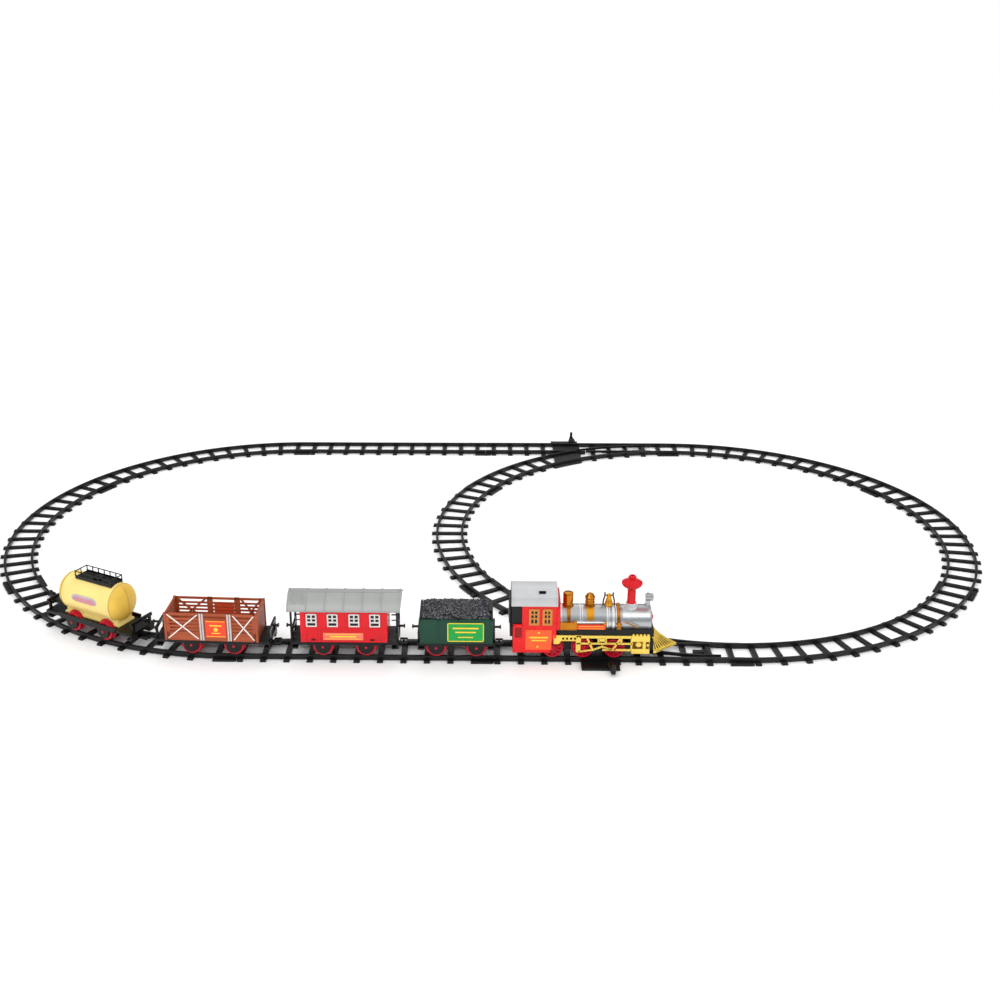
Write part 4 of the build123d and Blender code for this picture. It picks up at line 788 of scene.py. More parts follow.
def boiler_sand_dome():
    """Square-shouldered barrel with a narrow strap."""
    dome = Shape()
    dome.turned(((0, 62), (7.4, 62.6), (7, 64.6), (5.7, 67.4), (5.6, 68.2), (5.9, 69.4), (5.9, 80),
        (5.5, 80.8), (4.6, 81.2), (0, 81.2)), (94.8, 0, 0), "z", 48)
    dome.turned(((0, 79.2), (1.4, 79.2), (1.4, 81.2), (0.9, 81.9), (0, 81.9)), (99.3, 0, 0), "z", 16)
    boiler_strap(dome, 92.6, 97.6, 52.0, (94.0, 96.6))
    dome.piece("Engine_sand_dome", "copper", 0.2, "sand_dome")


def boiler_steam_dome():
    """Beehive dome with rings and a wide strap."""
    dome = Shape()
    dome.turned(((0, 62), (6.8, 62.6), (6.5, 64.8), (5.2, 67), (4.9, 68), (5.6, 68.4), (5.6, 69.6),
        (4.9, 70), (4.9, 71.6), (5.4, 72), (5.4, 73.2), (5, 73.6), (5.9, 74.8), (5.9, 76), (5, 76.8),
        (4.4, 78.4), (3, 79.8), (1.4, 80.4), (0, 80.5)), (119.9, 0, 0), "z", 48)
    dome.piece("Engine_steam_dome", "copper", 0, "steam_dome")
    belt = Shape()
    boiler_strap(belt, 115.4, 124.6, 53.6, (116.2, 123.6))
    belt.piece("Engine_steam_dome_strap", "amber", 0.2)


def boiler_bell():
    """Bell between the two arms of its yoke."""
    cup = Shape()
    cup.turned(((0, 62), (4.6, 62.4), (4.9, 64), (4, 64.8), (5, 66), (4.6, 68.2), (3.6, 71.6), (2.6, 74.8),
        (2.9, 76.6), (2.4, 78.6), (1.2, 79.8), (0, 80)), (141.5, 0, 0), "z", 40)
    cup.piece("Engine_bell", "amber", 0, "bell")
    yoke = Shape()
    for side in (1, -1):
        yoke.rod([(141.5 + side * dx, 0, z) for dx, z in ((6, 63), (6.5, 67), (6.2, 71.5), (5, 75.6),
            (4.6, 78.2), (4.9, 81))], 0.95, 12)
    yoke.rod([(136.6, 0, 77.6), (146.4, 0, 77.6)], 0.8, 12)
    yoke.piece("Engine_bell_yoke", "bronze", 0)


def boiler_headlamp():
    """Lamp on a ribbed bracket at the front of the smokebox."""
    lamp = Shape()
    lamp.turned(((0, 183.2), (3.4, 183.2), (3.9, 183.8), (3.9, 188.6), (4.5, 189.2), (4.5, 191.6),
        (3.8, 192.4), (3.2, 191.2), (0, 190.8)), (0, 0, 75.8), "x", 40)
    lamp.turned(((0, 79), (2.2, 79), (2, 80.2), (1, 81.4), (0, 81.6)), (186.2, 0, 0), "z", 20)
    lamp.slabs((183, 189.4, -3.4, 3.4, 63, 66.4), (184, 188.4, -2.6, 2.6, 66.4, 69),
        (183.4, 189, -3.1, 3.1, 69, 72.6))
    lamp.piece("Engine_headlamp", "boiler", 0.3, "headlamp")


def boiler_boards():
    """Tanks, plates and rails along both sides of the boiler."""
    tanks = Shape((85.2, 104.4, 18.2, 21.5, 42.6, 52.4))
    for x, z in ((102.4, 52.4), (136.4, 51.6)):
        tanks.turned(((0, 19.6), (2.1, 19.6), (2.1, 22), (1.7, 22.4), (0, 22.4)), (x, 0, z), "y", 20)
    boiler_bracket(tanks)
    tanks.rod([(158.8, 20.2, 52.8), (162, 20.8, 52.6), (173.6, 20.8, 46.4)], 0.85)
    tanks.mirror()
    boiler_strap(tanks, 150.6, 154.2, 50.0)
    tanks.turned(((0, 63), (1.9, 63), (2.3, 65.4), (1.9, 67.6), (0, 68.2)), (152.3, 0, 0), "z", 20)
    tanks.piece("Engine_side_tanks", "copper", 0.25, "running_boards")
    plates = Shape((104.6, 137.2, 18.6, 21.2, 43.4, 49.4))
    plates.mirror()
    plates.piece("Engine_side_plates", "ember", 0.3)
    stripe = Shape()
    for height in (44.7, 47.7):
        stripe.slab((106.4, 135.4), (21, 21.35), (height, height + 0.5))
    stripe.mirror()
    stripe.piece("Engine_side_plate_stripes", "yellow", 0)


def boiler_bracket(shape):
    """Crossed foot of the band between boiler and smokebox."""
    shape.bar((149.4, 50.6), (155.4, 42.6), 1.5, (18.4, 21))
    shape.bar((155.4, 50.6), (149.4, 42.6), 1.5, (18.4, 21))
    shape.slab((150.8, 154), (17, 20.8), (41.6, 52.4))


def build_boiler(context):
    """Boiler, its bands, domes, chimney, bell and headlamp."""
    centre = (0, 0, BOILER_HEIGHT)
    shell = Shape()
    shell.turned(((0, 81.5), (17, 81.5), (17.5, 82), (17.5, 155.6), (17.2, 156.2), (17.2, 157.4),
        (17.5, 158), (17.5, 185.4), (17.9, 186), (17.9, 189.4), (17.2, 190), (0, 190)), centre, "x", 96)
    shell.piece("Engine_boiler", "boiler", 0, "boiler_shell")
    bands = Shape()
    for middle, width in ((86.6, 2.6), (108.3, 1.6), (139.4, 2.2), (146.3, 3)):
        bands.turned(((0, middle - width / 2), (17.8, middle - width / 2), (18.1, middle - width / 2 + 0.3),
            (18.1, middle + width / 2 - 0.3), (17.8, middle + width / 2), (0, middle + width / 2)), centre,
            "x", 96)
    for start in (110.4, 141.4, 149.2):
        bands.disc(17.75, start, start + 0.8, centre, "x", 96)
    bands.turned(((0, 61.5), (8.6, 61.5), (8.4, 64), (7, 66.6), (6.6, 68.4), (6.2, 69), (0, 69)),
        (CHIMNEY_X, 0, 0), "z", 48)
    for side in (1, -1):
        bands.rod([(103.5, side * 21, 52.9), (136.2, side * 21, 52.9)], 0.95)
    bands.piece("Engine_boiler_bands", "bright", 0)
    stack = Shape()
    stack.turned(((0, 68), (6, 68), (5.3, 69.6), (4.9, 71.4), (4.9, 84.6), (5.4, 86.4), (8.2, 88.7),
        (10.9, 90.8), (12, 92.6), (12.15, 93.6), (11.7, 94.9), (10.2, 96), (7.2, 97.4), (5.4, 98.6),
        (4.9, 100.2), (4.5, 101.8), (3.6, 102.7), (2.6, 102.8), (2.2, 101.4), (0, 101.2)),
        (CHIMNEY_X, 0, 0), "z", 64)
    stack.piece("Engine_chimney", "chimney", 0, "chimney")
    door = Shape()
    height = 50.5
    door.turned(((0, 190), (6.3, 190), (6.3, 191.4), (5.8, 192), (2.6, 192.6), (1.4, 193.6), (0, 193.8)),
        (0, 0, height), "x", 40)
    for index in range(8):
        turn = math.radians(index * 45)
        door.turned(((0, 190), (0.7, 190), (0.7, 192.2), (0.4, 192.5), (0, 192.5)),
            (0, 4.9 * math.cos(turn), height + 4.9 * math.sin(turn)), "x", 10)
    door.piece("Engine_smokebox_door", "chimney", 0, "smokebox_door")
    boiler_sand_dome()
    boiler_steam_dome()
    boiler_bell()
    boiler_headlamp()
    boiler_boards()


def cab_inside():
    """Black inner wall, painted shade of the unlit cab inside, that shows in the doorway and fills the rear."""
    liner = Shape((28, 43, 19.4, 20.8, 46, 73.6), (43, 79.4, 19.6, 20.9, 46, 73.6))
    liner.mirror()
    liner.slabs((27.8, 29.6, -20.8, 20.8, 46, 73.6), (26.6, 27.9, -12, 12, 47, 68),
        (28.6, 30.8, -20.4, 20.4, 40.6, 46.4))
    liner.piece("Engine_cab_liner", "chassis", 0.3)


def cab_windows():
    """Two framed windows on each side, three rows of small panes."""
    frames = Shape()
    panes = Shape()
    for start, end in ((49.2, 61.2), (64.6, 75.8)):
        # near-black panes behind the frames: painted shade of the cab inside
        panes.slab((start + 1.2, end - 1.2), (22.6, 23.2), (51.4, 69.4))
        columns = ((start, start + 2.6), ((start + end) / 2 - 0.8, (start + end) / 2 + 0.8),
            (end - 2.6, end))
        for low, high in columns:
            frames.slab((low, high), (22.8, 23.9), (50, 70.6))
        for low, high in ((50, 52.6), (57.4, 59.4), (63, 64.6), (68, 70.6)):
            frames.slab((start, end), (22.8, 23.86), (low, high))
    frames.mirror()
    panes.mirror()
    frames.piece("Engine_cab_windows", "tan", 0.15, "cab_windows")
    panes.piece("Engine_cab_panes", "pane", 0)


def cab_label():
    """Orange paper label with plain bars."""
    paper = Shape((45.8, 75.6, 22.5, 22.75, 18.2, 43.4))
    paper.mirror()
    paper.piece("Engine_cab_label", "orange", 0)
    bars = Shape()
    for start, end, height, thick in ((50, 71.6, 33, 1.9), (52.6, 69.4, 29.4, 1.5)):
        bars.slab((start, end), (22.7, 22.85), (height, height + thick))
    for x, z in ((61, 40), (59.6, 22)):
        bars.disc(1.2, 22.7, 22.85, (x, 0, z), "y", 20)
    bars.mirror()
    bars.piece("Engine_cab_label_bars", "yellow", 0)


def cab_roof():
    """Roof with flat crown, steep flanks and a slot for the switch."""
    cover = Shape()
    outline = ((-24.2, 74.1), (24.2, 74.1), (24.4, 76), (21.6, 84.4), (20.6, 85), (9, 90.3), (8, 90.5),
        (-8, 90.5), (-9, 90.3), (-20.6, 85), (-21.6, 84.4), (-24.4, 76))
    cover.prism(outline, 29, 82, "x")
    for low, high in ((29, 30.6), (80.4, 82)):
        cover.prism([(y * 1.012, z + (0.25 if z > 75 else 0)) for y, z in outline], low, high, "x")
    cover.piece("Engine_cab_roof", "cab_roof", 0.3, "cab_roof")
    # dark slot for the switch: painted shade inside the slot
    slot = Shape((60.4, 68.2, -16.6, -12.6, 86.2, 89.3))
    slot.turn_last(-25, "X", (64, -14.6, 87.9))
    slot.piece("Engine_roof_slot", "pane", 0)


def build_cab(context):
    """Cab with its panels, windows, label and roof."""
    walls = Shape((42.6, 80.6, 21.2, 23, 45.4, 74))
    walls.prism(((31, 14.2), (74.6, 14.2), (74.6, 26), (77.5, 31.5), (80.6, 33), (80.6, 45.4), (43, 45.4),
        (43, 49.6), (31, 49.6)), 21, 22.6)
    walls.slabs((31, 33.2, 21, 23.2, 14, 50.2), (31, 43.2, 20.6, 23.2, 48.2, 50.4),
        (41.4, 43.8, 20.8, 23.2, 15, 74), (43.4, 80.6, 20.8, 23.3, 44.2, 46))
    for height in (18.4, 23.2, 28.0):
        walls.slab((33, 41.6), (22.4, 23.1), (height, height + 2.2))
    walls.slab((78.4, 80.8), (20.8, 23.2), (33, 74))
    walls.mirror()
    walls.slab((81, 85), (-22.8, 22.8), (44.2, 70.6))
    walls.prism(((-22.8, 70.4), (22.8, 70.4), (20.4, 77.4), (12, 80.4), (-12, 80.4), (-20.4, 77.4)), 80.8,
        85, "x")
    walls.slab((79, 80.9), (-21.4, 21.4), (45.4, 74))
    walls.piece("Engine_cab", "cab", 0.35, "cab_body")
    # darker red panel in the recess: painted shade
    dark = Shape((33, 41.6, 21.6, 22.75, 33.4, 46.6))
    dark.mirror()
    dark.piece("Engine_cab_recess", "recess", 0.2)
    cab_inside()
    cab_windows()
    cab_label()
    cab_roof()


def frames_cylinder():
    """Steam chest block with a recess and a round boss."""
    block = Shape((167.6, 188, 13.4, 22.2, 14.4, 37), (167.4, 188.2, 13.4, 23.4, 14.2, 20.4),
        (167.4, 188.2, 13.4, 23.3, 29.6, 36.8), (180.6, 183.6, 21.8, 23.2, 20, 30))
    for start in (168.0, 172.2, 176.4, 180.6, 184.8):
        block.slab((start, start + 2.6), (19.6, 23.2), (36.4, 39))
    block.turned(((0, 21.6), (3.4, 21.6), (3.4, 23.2), (2.4, 23.8), (0, 23.9)), (175.4, 0, 26), "y", 28)
    block.turned(((0, 21.6), (1.6, 21.6), (1.6, 23.4), (0, 23.6)), (186, 0, 25.2), "y", 16)
    block.mirror()
    block.piece("Engine_cylinders", "gold", 0.25)
    # dark bronze sheet in the recess: painted shade
    hollow = Shape((168.4, 180, 22, 22.5, 20.6, 29.4), (184, 187.4, 22, 22.5, 20.6, 29.4))
    hollow.mirror()
    hollow.piece("Engine_cylinder_recess", "bronze", 0)


def frames_cowcatcher():
    """Ribs fanning from the prow down to a pointed foot bar."""
    net = Shape()
    tip, corner = Vector((221.6, 0, 16.4)), Vector((194.4, 20.8, 15.6))
    count = 8

    def spot(share, fall):
        """Point on one side of the fan: share 0 at the prow, 1 at the rear corner; fall 0 to 1 downwards."""
        foot = tip.lerp(corner, share)
        top = Vector((192.2, 2.6 * share, 39.6 - 4.0 * share))
        bend = Vector((192.2 + 0.26 * (foot.x - 192.2), 0.42 * foot.y, 27.0 - 3.5 * share))
        return top.lerp(bend, fall).lerp(bend.lerp(foot, fall), fall)

    for side in (1, -1):
        for index in range(count + (1 if side > 0 else 0)):
            share = (index + (0 if side > 0 else 1)) / count
            path = [spot(share, step / 10) for step in range(11)]
            net.rod([(point.x, point.y * side, point.z) for point in path], 0.85, 8)
        corners = []
        rows, columns, reach = 6, count, 0.3
        for depth in (0.0, -1.4):
            for a in range(rows + 1):
                for b in range(columns + 1):
                    point = spot(b / columns, reach * a / rows)
                    corners.append((point.x + depth, point.y * side, point.z - 0.2))
        net.sheet(rows, columns, corners)
        net.prism(((tip.x + 0.6, 0), (tip.x - 3.4, 0), (corner.x - 1.2, side * (corner.y - 2.4)),
            (corner.x - 1.2, side * (corner.y + 0.4)), (corner.x + 1.4, side * (corner.y + 0.4))), 14.2,
            17.2, "z")
    net.slab((190, 193.2), (-6, 6), (26, 39))
    net.piece("Engine_cowcatcher", "gold", 0, "cowcatcher")
    back = Shape((189.6, 193.4, -16, 16, 16, 27))
    back.prism(((211, 0), (193, 13.6), (193, -13.6)), 15, 21.5, "z")
    back.piece("Engine_cowcatcher_back", "chassis", 0)


def build_frames(context):
    """Gold side frames and cowcatcher."""
    truss = Shape()
    skin = (21.3, 22.8)
    bars = (((104, 35), (169, 35), 3.4), ((104, 26.5), (169, 26.5), 2.2), ((134, 18.4), (169, 18.4), 2.6),
        ((106.4, 15.8), (123.5, 18.4), 2), ((123.5, 18.4), (134, 22.6), 2.2),
        ((134, 22.6), (146.4, 18.4), 2), ((116.2, 34), (122.9, 18.8), 2.4),
        ((155.4, 35), (146.4, 18.8), 2.4), ((129.4, 34), (129.4, 28), 2.2), ((138, 34), (138, 27), 2.2),
        ((155.6, 35), (155.6, 26.5), 2.2), ((167.4, 35), (167.4, 18), 2), ((138, 31), (129.4, 31), 3.4))
    for start, end, width in bars:
        truss.bar(start, end, width, skin)
    truss.prism(((103.6, 37), (103.6, 16.4), (105, 14.8), (107.4, 14.8), (109, 17), (109.6, 37)), *skin)
    truss.prism(((78, 36.9), (78, 25.6), (84, 25.6), (86.8, 29.6), (104, 29.6), (104, 31.2), (87.8, 31.2),
        (87.8, 34.2), (104, 34.2), (104, 36.9)), *skin)
    for start in (90.0, 94.6, 99.2):
        truss.slab((start, start + 2.2), skin, (30.6, 34.8))
    for x, z, radius in ((106.6, 33.2, 2.1), (123.2, 18.6, 1.7), (134, 22.6, 1.7), (146.4, 18.6, 1.7),
            (155.5, 34.6, 1.6)):
        truss.turned(((0, 21.2), (radius, 21.2), (radius, 23), (radius - 0.4, 23.3), (0, 23.3)), (x, 0, z),
            "y", 20)
    truss.mirror()
    truss.piece("Engine_side_frames", "gold", 0.2, "side_frames")
    frames_cylinder()
    frames_cowcatcher()


# ------------------------------------------------------------------ tender

def tender_label_lines():
    """Plain yellow border and bars on the green label."""
    lines = Shape()
    for x0, x1, z0, z1 in ((-10, 31.7, 28.3, 29.2), (-10, 31.7, 51.2, 52.1), (-10, -9.1, 28.3, 52.1),
            (30.8, 31.7, 28.3, 52.1), (-4.0, 25.6, 44.6, 46.4), (-1.0, 22.6, 39.6, 41.2),
            (2.0, 19.6, 33.4, 34.6)):
        lines.both((x0, x1), (23.7, 23.85), (z0, z1))
    lines.piece("Tender_label_lines", "yellow", 0)


def build_tender(context):
    """Tender walls, label and coal."""
    sizes = context.scene.train_sizes
    walls = Shape((-42, 42, 21.2, 23, 25.4, 54.6), (-42, 42, 20.8, 23.6, 54.2, 56),
        (-42, 42, 21, 23.5, 25.4, 27.2), twice=True)
    for x in (-42.0, -21.4, 1.8, 40.0):
        walls.both((x, x + 2), (21, 23.6), (25.4, 56))
    walls.slabs((-42, -40, -22.4, 22.4, 25.4, 57.6), (40, 42, -22.4, 22.4, 25.4, 57.6),
        (-42, 42, -21.6, 21.6, 25.4, 27.4))
    walls.piece("Tender_body", "green", 0.3, "tender_body")
    rib = Shape((4.4, 5.6, 22.9, 23.4, 27.4, 54), twice=True)
    row("Tender_ribs", rib, 12, (3.0, 0, 0), "green")
    Shape((-42.2, -39.8, -22, 22, 57.4, 59.6), (39.8, 42.2, -22, 22, 57.4, 59.6),
        (37, 41, -12, 12, 57, 62.6), (-40, 40, -21.2, 21.2, 50, 55.2)).piece("Tender_end_caps", "chassis",
        0.3)
    Shape((-10.4, 32.1, 23, 23.75, 28, 52.4), twice=True).piece("Tender_label", "label", 0)
    tender_label_lines()
    mound = Shape()
    outline = ((-39.4, 54.6), (-38.8, 59.2), (-34, 61.6), (-10, 62.2), (18, 61.8), (36, 61), (38.8, 58.6),
        (39, 54.6))
    mound.prism(outline, -20.4, 20.4)
    for vertex in mound.last:
        if vertex.co.z > 60:
            vertex.co.y *= 0.9
    data = grown("Tender_coal", mound.data("Tender_coal"), "coal",
        {"Spacing": sizes.coal_spacing, "Lump": sizes.coal_lump, "Seed": sizes.coal_seed,
        "Material": MATERIALS["coal"]})
    coal = mounted("Tender_coal", data, "tender", "tender", "coal", ("coal_load",), 0)
    coal.data.polygons.foreach_set("use_smooth", [False] * len(coal.data.polygons))


# ------------------------------------------------------------------ coach

WINDOW_SPOTS = (-37.0, -12.7, 12.2, 36.0)


def coach_windows():
    """Two small panes over a wide low one, four times on each side."""
    frames = Shape()
    panes = Shape()
    for middle in WINDOW_SPOTS:
        low, high = middle - 6.2, middle + 6.2
        # near-black panes behind the frames: painted shade of the coach inside
        panes.both((low + 1, high - 1), (22, 22.6), (46.6, 61.2))
        for x0, x1 in ((low, low + 1.6), (high - 1.6, high)):
            frames.both((x0, x1), (22, 23.3), (45.7, 62))
        for z0, z1 in ((45.7, 47.2), (50.6, 52.4), (55.6, 56.9), (60.5, 62)):
            frames.both((low, high), (22, 23.26), (z0, z1))
        frames.both((middle - 0.8, middle + 0.8), (22, 23.2), (51, 61.4))
    frames.piece("Coach_windows", "window", 0.15, "coach_windows")
    panes.piece("Coach_panes", "pane", 0)


def coach_roof():
    """Roof with a flat crown and ribs across it."""
    outline = ((-24.4, 65.1), (24.4, 65.1), (24.5, 67), (20.6, 72.8), (6, 80.8), (5, 81), (-5, 81),
        (-6, 80.8), (-20.6, 72.8), (-24.5, 67))
    cover = Shape()
    cover.prism(outline, -65, 65, "x")
    for start in (-65.2, 63.6):
        cover.prism([(y * 1.02, z + (0.5 if z > 66 else 0)) for y, z in outline], start, start + 1.6, "x")
    cover.slab((-63, 63), (-4.4, 4.4), (80.8, 81.5))
    cover.rod([(64.6, 0, 80), (66.6, 0, 82.4), (68.2, 0, 81.6)], 0.8)
    cover.piece("Coach_roof", "roof", 0.3, "coach_roof")
    rib = Shape()
    rib.prism([(y * 1.03, z + (0.7 if z > 66 else 0)) for y, z in outline], -44, -42.6, "x")
    row("Coach_roof_ribs", rib, 5, (21.65, 0, 0), "roof", 0.2)
    flute = Shape()
    for side in (1, -1):
        flute.rod([(-60.5, side * 20.2, 73.3), (-60.5, side * 6.6, 80.7)], 0.5, 6)
    row("Coach_roof_flutes", flute, 6, (2.8, 0, 0), "roof")


def coach_trim():
    """Sign, latch slots, end railings and corner posts."""
    Shape((-24, 22.4, 22.5, 23.1, 28.6, 38), twice=True).piece("Coach_sign", "salmon", 0.1)
    lines = Shape()
    for x0, x1, z0, z1 in ((-21.6, 20, 30, 30.6), (-21.6, 20, 36, 36.6), (-16, 14.4, 32.4, 34.2)):
        lines.both((x0, x1), (23, 23.25), (z0, z1))
    lines.piece("Coach_sign_lines", "yellow", 0)
    # dark latch slots: painted shade inside the slots
    slots = Shape()
    for x in (-37.6, 30.6):
        slots.both((x, x + 4.6), (22.5, 22.9), (28, 29.6))
    slots.piece("Coach_latches", "pane", 0)
    rails = Shape()
    for end in (1, -1):
        a, b = sorted((end * 52.0, end * 61.6))
        c, d = sorted((end * 60.4, end * 61.8))
        rails.slabs((a, b, 20.6, 21.9, 38.6, 40.2), (a, b, 20.6, 21.8, 31.6, 32.8),
            (c, d, 20.4, 22, 25, 40.2), (c, d, 6, 22, 38.6, 40.2), twice=True)
        for y in (7.0, 11.4, 15.8):
            rails.both((c, d), (y, y + 1.2), (25, 39))
    rails.piece("Coach_end_rails", "chassis", 0.25)


def build_coach(context):
    """Coach walls, windows, roof and end railings."""
    walls = Shape((-50.2, 50.2, 20.8, 22.1, 25.6, 64.6), (-50.2, 50.2, 20.8, 22.7, 25.6, 27.6),
        (-50.2, 50.2, 20.8, 22.7, 42.4, 44), (-50.2, 50.2, 20.8, 22.7, 63, 64.6), twice=True)
    for low, high in ((-50.2, -44.6), (-29.4, -27.6), (-20.6, -19.2), (-1.8, 1.6), (19, 20.4), (27.2, 29.2),
            (43.6, 50.2)):
        walls.both((low, high), (20.8, 22.6), (25.6, 64.6))
    walls.slabs((-50.2, -48.6, -22, 22, 25.6, 64.6), (48.6, 50.2, -22, 22, 25.6, 64.6))
    walls.piece("Coach_body", "coach", 0.25, "coach_body")
    groove = Shape((-46.6, -46.2, 22.4, 22.66, 28.4, 41.8), twice=True)
    row("Coach_wall_beads", groove, 24, (4.0, 0, 0), "coach")
    coach_windows()
    coach_roof()
    coach_trim()


# ------------------------------------------------------------------ open wagon

WAGON_END = 54.0


def wagon_end_bead():
    """One plank line across both end walls, inside and out."""
    bead = Shape()
    for end in (1, -1):
        for x in (52.0, 54.0):
            bead.slab(sorted((end * (x - 0.2), end * (x + 0.25))), (-20.4, 20.4), (34.6, 37.6))
    return bead


def wagon_posts():
    """Light double posts outside and their backs inside."""
    posts = Shape()
    for low in (-13.2, -10.4, 19.2, 22.0):
        posts.both((low, low + 1.9), (22.4, 23.3), (26, 60.4))
    posts.piece("Wagon_posts", "post", 0.2)


def wagon_braces():
    """Crossed braces in the outer panels: painted white outside, plain brown inside."""
    for name, skin, material, width in (("Wagon_braces", (22, 22.95), "brace", 1.2),
            ("Wagon_inner_braces", (20.3, 21.0), "brown", 2.2)):
        braces = Shape()
        for low, high in ((-51, -15.4), (26.4, 50.4)):
            braces.bar((low, 27.6), (high, 58.6), width, skin)
            braces.bar((low, 58.6), (high, 27.6), width, skin)
        braces.mirror()
        braces.piece(name, material, 0)


def wagon_label():
    """Red-orange label between the posts, with plain bars."""
    Shape((-6.4, 17.6, 22.1, 22.9, 30.4, 51.8), twice=True).piece("Wagon_label", "ember", 0)
    bars = Shape()
    for x0, x1, z0, z1 in ((-5.6, 16.8, 31, 31.7), (-5.6, 16.8, 50.5, 51.2), (-1.4, 12.6, 44.6, 46.2),
            (0.6, 10.6, 35.0, 36.2)):
        bars.both((x0, x1), (22.8, 23), (z0, z1))
    bars.disc(2.6, 22.8, 23, (5.6, 0, 40.4), "y", 28)
    bars.disc(2.6, -23, -22.8, (5.6, 0, 40.4), "y", 28)
    bars.piece("Wagon_label_bars", "yellow", 0)


def build_wagon(context):
    """Open wagon with slatted walls."""
    frame_work = Shape((-WAGON_END, WAGON_END, 20.8, 22.6, 25.2, 36),
        (-WAGON_END, WAGON_END, 20.8, 22.7, 57.2, 60), twice=True)
    for low, high in ((-54, -48.6), (-14.4, -7.6), (18.2, 25.2), (48.6, 54)):
        frame_work.both((low, high), (20.8, 22.6), (25.2, 60))
    for end in (1, -1):
        a, b = sorted((end * 52.2, end * 54.0))
        frame_work.slab((a, b), (-22.6, 22.6), (25.2, 60))
        a, b = sorted((end * 52.4, end * 55.0))
        frame_work.both((a, b), (20.6, 23.2), (25, 60.4))
    frame_work.slab((-52.4, 52.4), (-21, 21), (33.2, 34.8))
    frame_work.piece("Wagon_body", "brown", 0.25, "wagon_body")
    plank = Shape((-50, -12, 21.1, 22.2, 37.7, 40.3), (-10, 21, 21.1, 22.2, 37.7, 40.3),
        (23, 50, 21.1, 22.2, 37.7, 40.3), twice=True)
    row("Wagon_planks", plank, 4, (0, 0, 4.55), "brown", 0.3)
    row("Wagon_end_beads", wagon_end_bead(), 7, (0, 0, 3.6), "brown")
    wagon_posts()
    wagon_braces()
    wagon_label()


# ------------------------------------------------------------------ tank car

TANK_HEIGHT = 52.25
TANK_RADIUS = 22.6
WALKWAY_X = 5.5


def tank_walkway():
    """Walkway on top with railings and a filler lid."""
    deck = Shape()
    low, high = WALKWAY_X - 28.5, WALKWAY_X + 28.5
    deck.slab((low, high), (-10, 10), (73, 76))
    deck.slabs((low, high, 9, 10.2, 76, 77.4), (low, high, 9.4, 10.2, 82, 83.2), twice=True)
    for end in (1, -1):
        a, b = sorted((WALKWAY_X + end * 27.6, WALKWAY_X + end * 28.6))
        deck.slabs((a, b, -10.2, 10.2, 82, 83.2), (a, b, -0.5, 0.5, 76, 83))
    deck.turned(((0, 75), (6.4, 75), (6.4, 77.4), (5.6, 78.2), (2, 78.6), (1.6, 79.6), (0, 79.8)),
        (WALKWAY_X, 0, 0), "z", 40)
    deck.both((-46, 46), (20.9, 22.6), (24.6, 28.2))
    deck.piece("Tank_walkway", "chassis", 0.25, "tank_walkway")
    post = Shape((low + 0.1, low + 1.3, 9.4, 10.2, 76, 83), twice=True)
    row("Tank_rail_posts", post, 7, (9.26, 0, 0), "chassis")


def tank_label():
    """Pill-shaped label on the curved side, between rings."""
    for side, tag in ((1, "left"), (-1, "right")):
        for name, grow, material, low in ((f"Tank_label_{tag}", 0, "lilac", 0.12),
                (f"Tank_label_line_{tag}", -2.6, "rose", 0.2)):
            patch = Shape()
            wide, tall = 20.0 + grow, 6.0 + grow
            columns, rows = 24, 6
            corners = []
            for lift in (low - 0.3, low):
                for a in range(rows + 1):
                    for b in range(columns + 1):
                        v = -1 + 2 * a / rows
                        edge = wide - tall + tall * math.sqrt(max(0.0,
                            1 - v * v)) if abs(v) < 1 else wide - tall
                        x = edge * (-1 + 2 * b / columns)
                        turn = v * tall / TANK_RADIUS
                        radius = TANK_RADIUS + lift
                        corners.append((x, side * radius * math.cos(turn),
                            TANK_HEIGHT + 1.5 + radius * math.sin(turn)))
            patch.sheet(rows, columns, corners)
            patch.piece(name, material, 0)


def build_tank(context):
    """Tank car shell, walkway and label."""
    centre = (0, 0, TANK_HEIGHT)
    shell = Shape()
    r = TANK_RADIUS
    shell.turned(((0, -38), (r, -38), (r, -34.2), (r + 0.5, -33.8), (r + 0.5, -32.6), (r, -32.2),
        (r, -27.4), (r + 0.4, -27), (r + 0.4, -26), (r, -25.6), (r, 0), (r, 25.6), (r + 0.4, 26),
        (r + 0.4, 27), (r, 27.4), (r, 32.2), (r + 0.5, 32.6), (r + 0.5, 33.8), (r, 34.2), (r, 39), (0, 39)),
        centre, "x", 96)
    shell.prism(((-40.5, 25), (40.5, 25), (40.5, 36), (-40.5, 36)), -12.2, 12.2)
    shell.prism(((-43, 25.2), (43, 25.2), (42.4, 27.6), (-42.4, 27.6)), -13.8, 13.8)
    shell.piece("Tank_shell", "tank", 0.25, "tank_shell")
    domes = Shape()
    for end in (1, -1):
        start = 38.4 if end > 0 else 37.4
        profile = [(0, end * (start - 0.8)), (r - 0.1, end * (start - 0.8))]
        for step in range(9):
            turn = math.radians(step * 10)
            profile.append(((r - 0.2) * math.cos(turn), end * (start + 11.6 * math.sin(turn))))
        profile.append((0, end * (start + 11.6)))
        domes.turned(profile, centre, "x", 96)
    domes.piece("Tank_ends", "tank_end", 0)
    seams = Shape()
    for end in (1, -1):
        start = 38.4 if end > 0 else 37.4
        rib = [(end * (start - 1), TANK_HEIGHT - r + 1)]
        for step in range(-9, 10):
            turn = math.radians(step * 9)
            rib.append((end * (start + 0.5 + 12 * math.cos(turn)),
                TANK_HEIGHT + (r - 0.4) * math.sin(turn)))
        rib.append((end * (start - 1), TANK_HEIGHT + r - 1))
        seams.prism(rib, -0.8, 0.8)
        a, b = sorted((end * (start - 0.6), end * (start + 0.5)))
        seams.disc(r + 0.4, a, b, centre, "x", 96)
    seams.piece("Tank_seams", "seam", 0)
    tank_walkway()
    tank_label()


# ------------------------------------------------------------------ chassis and small parts

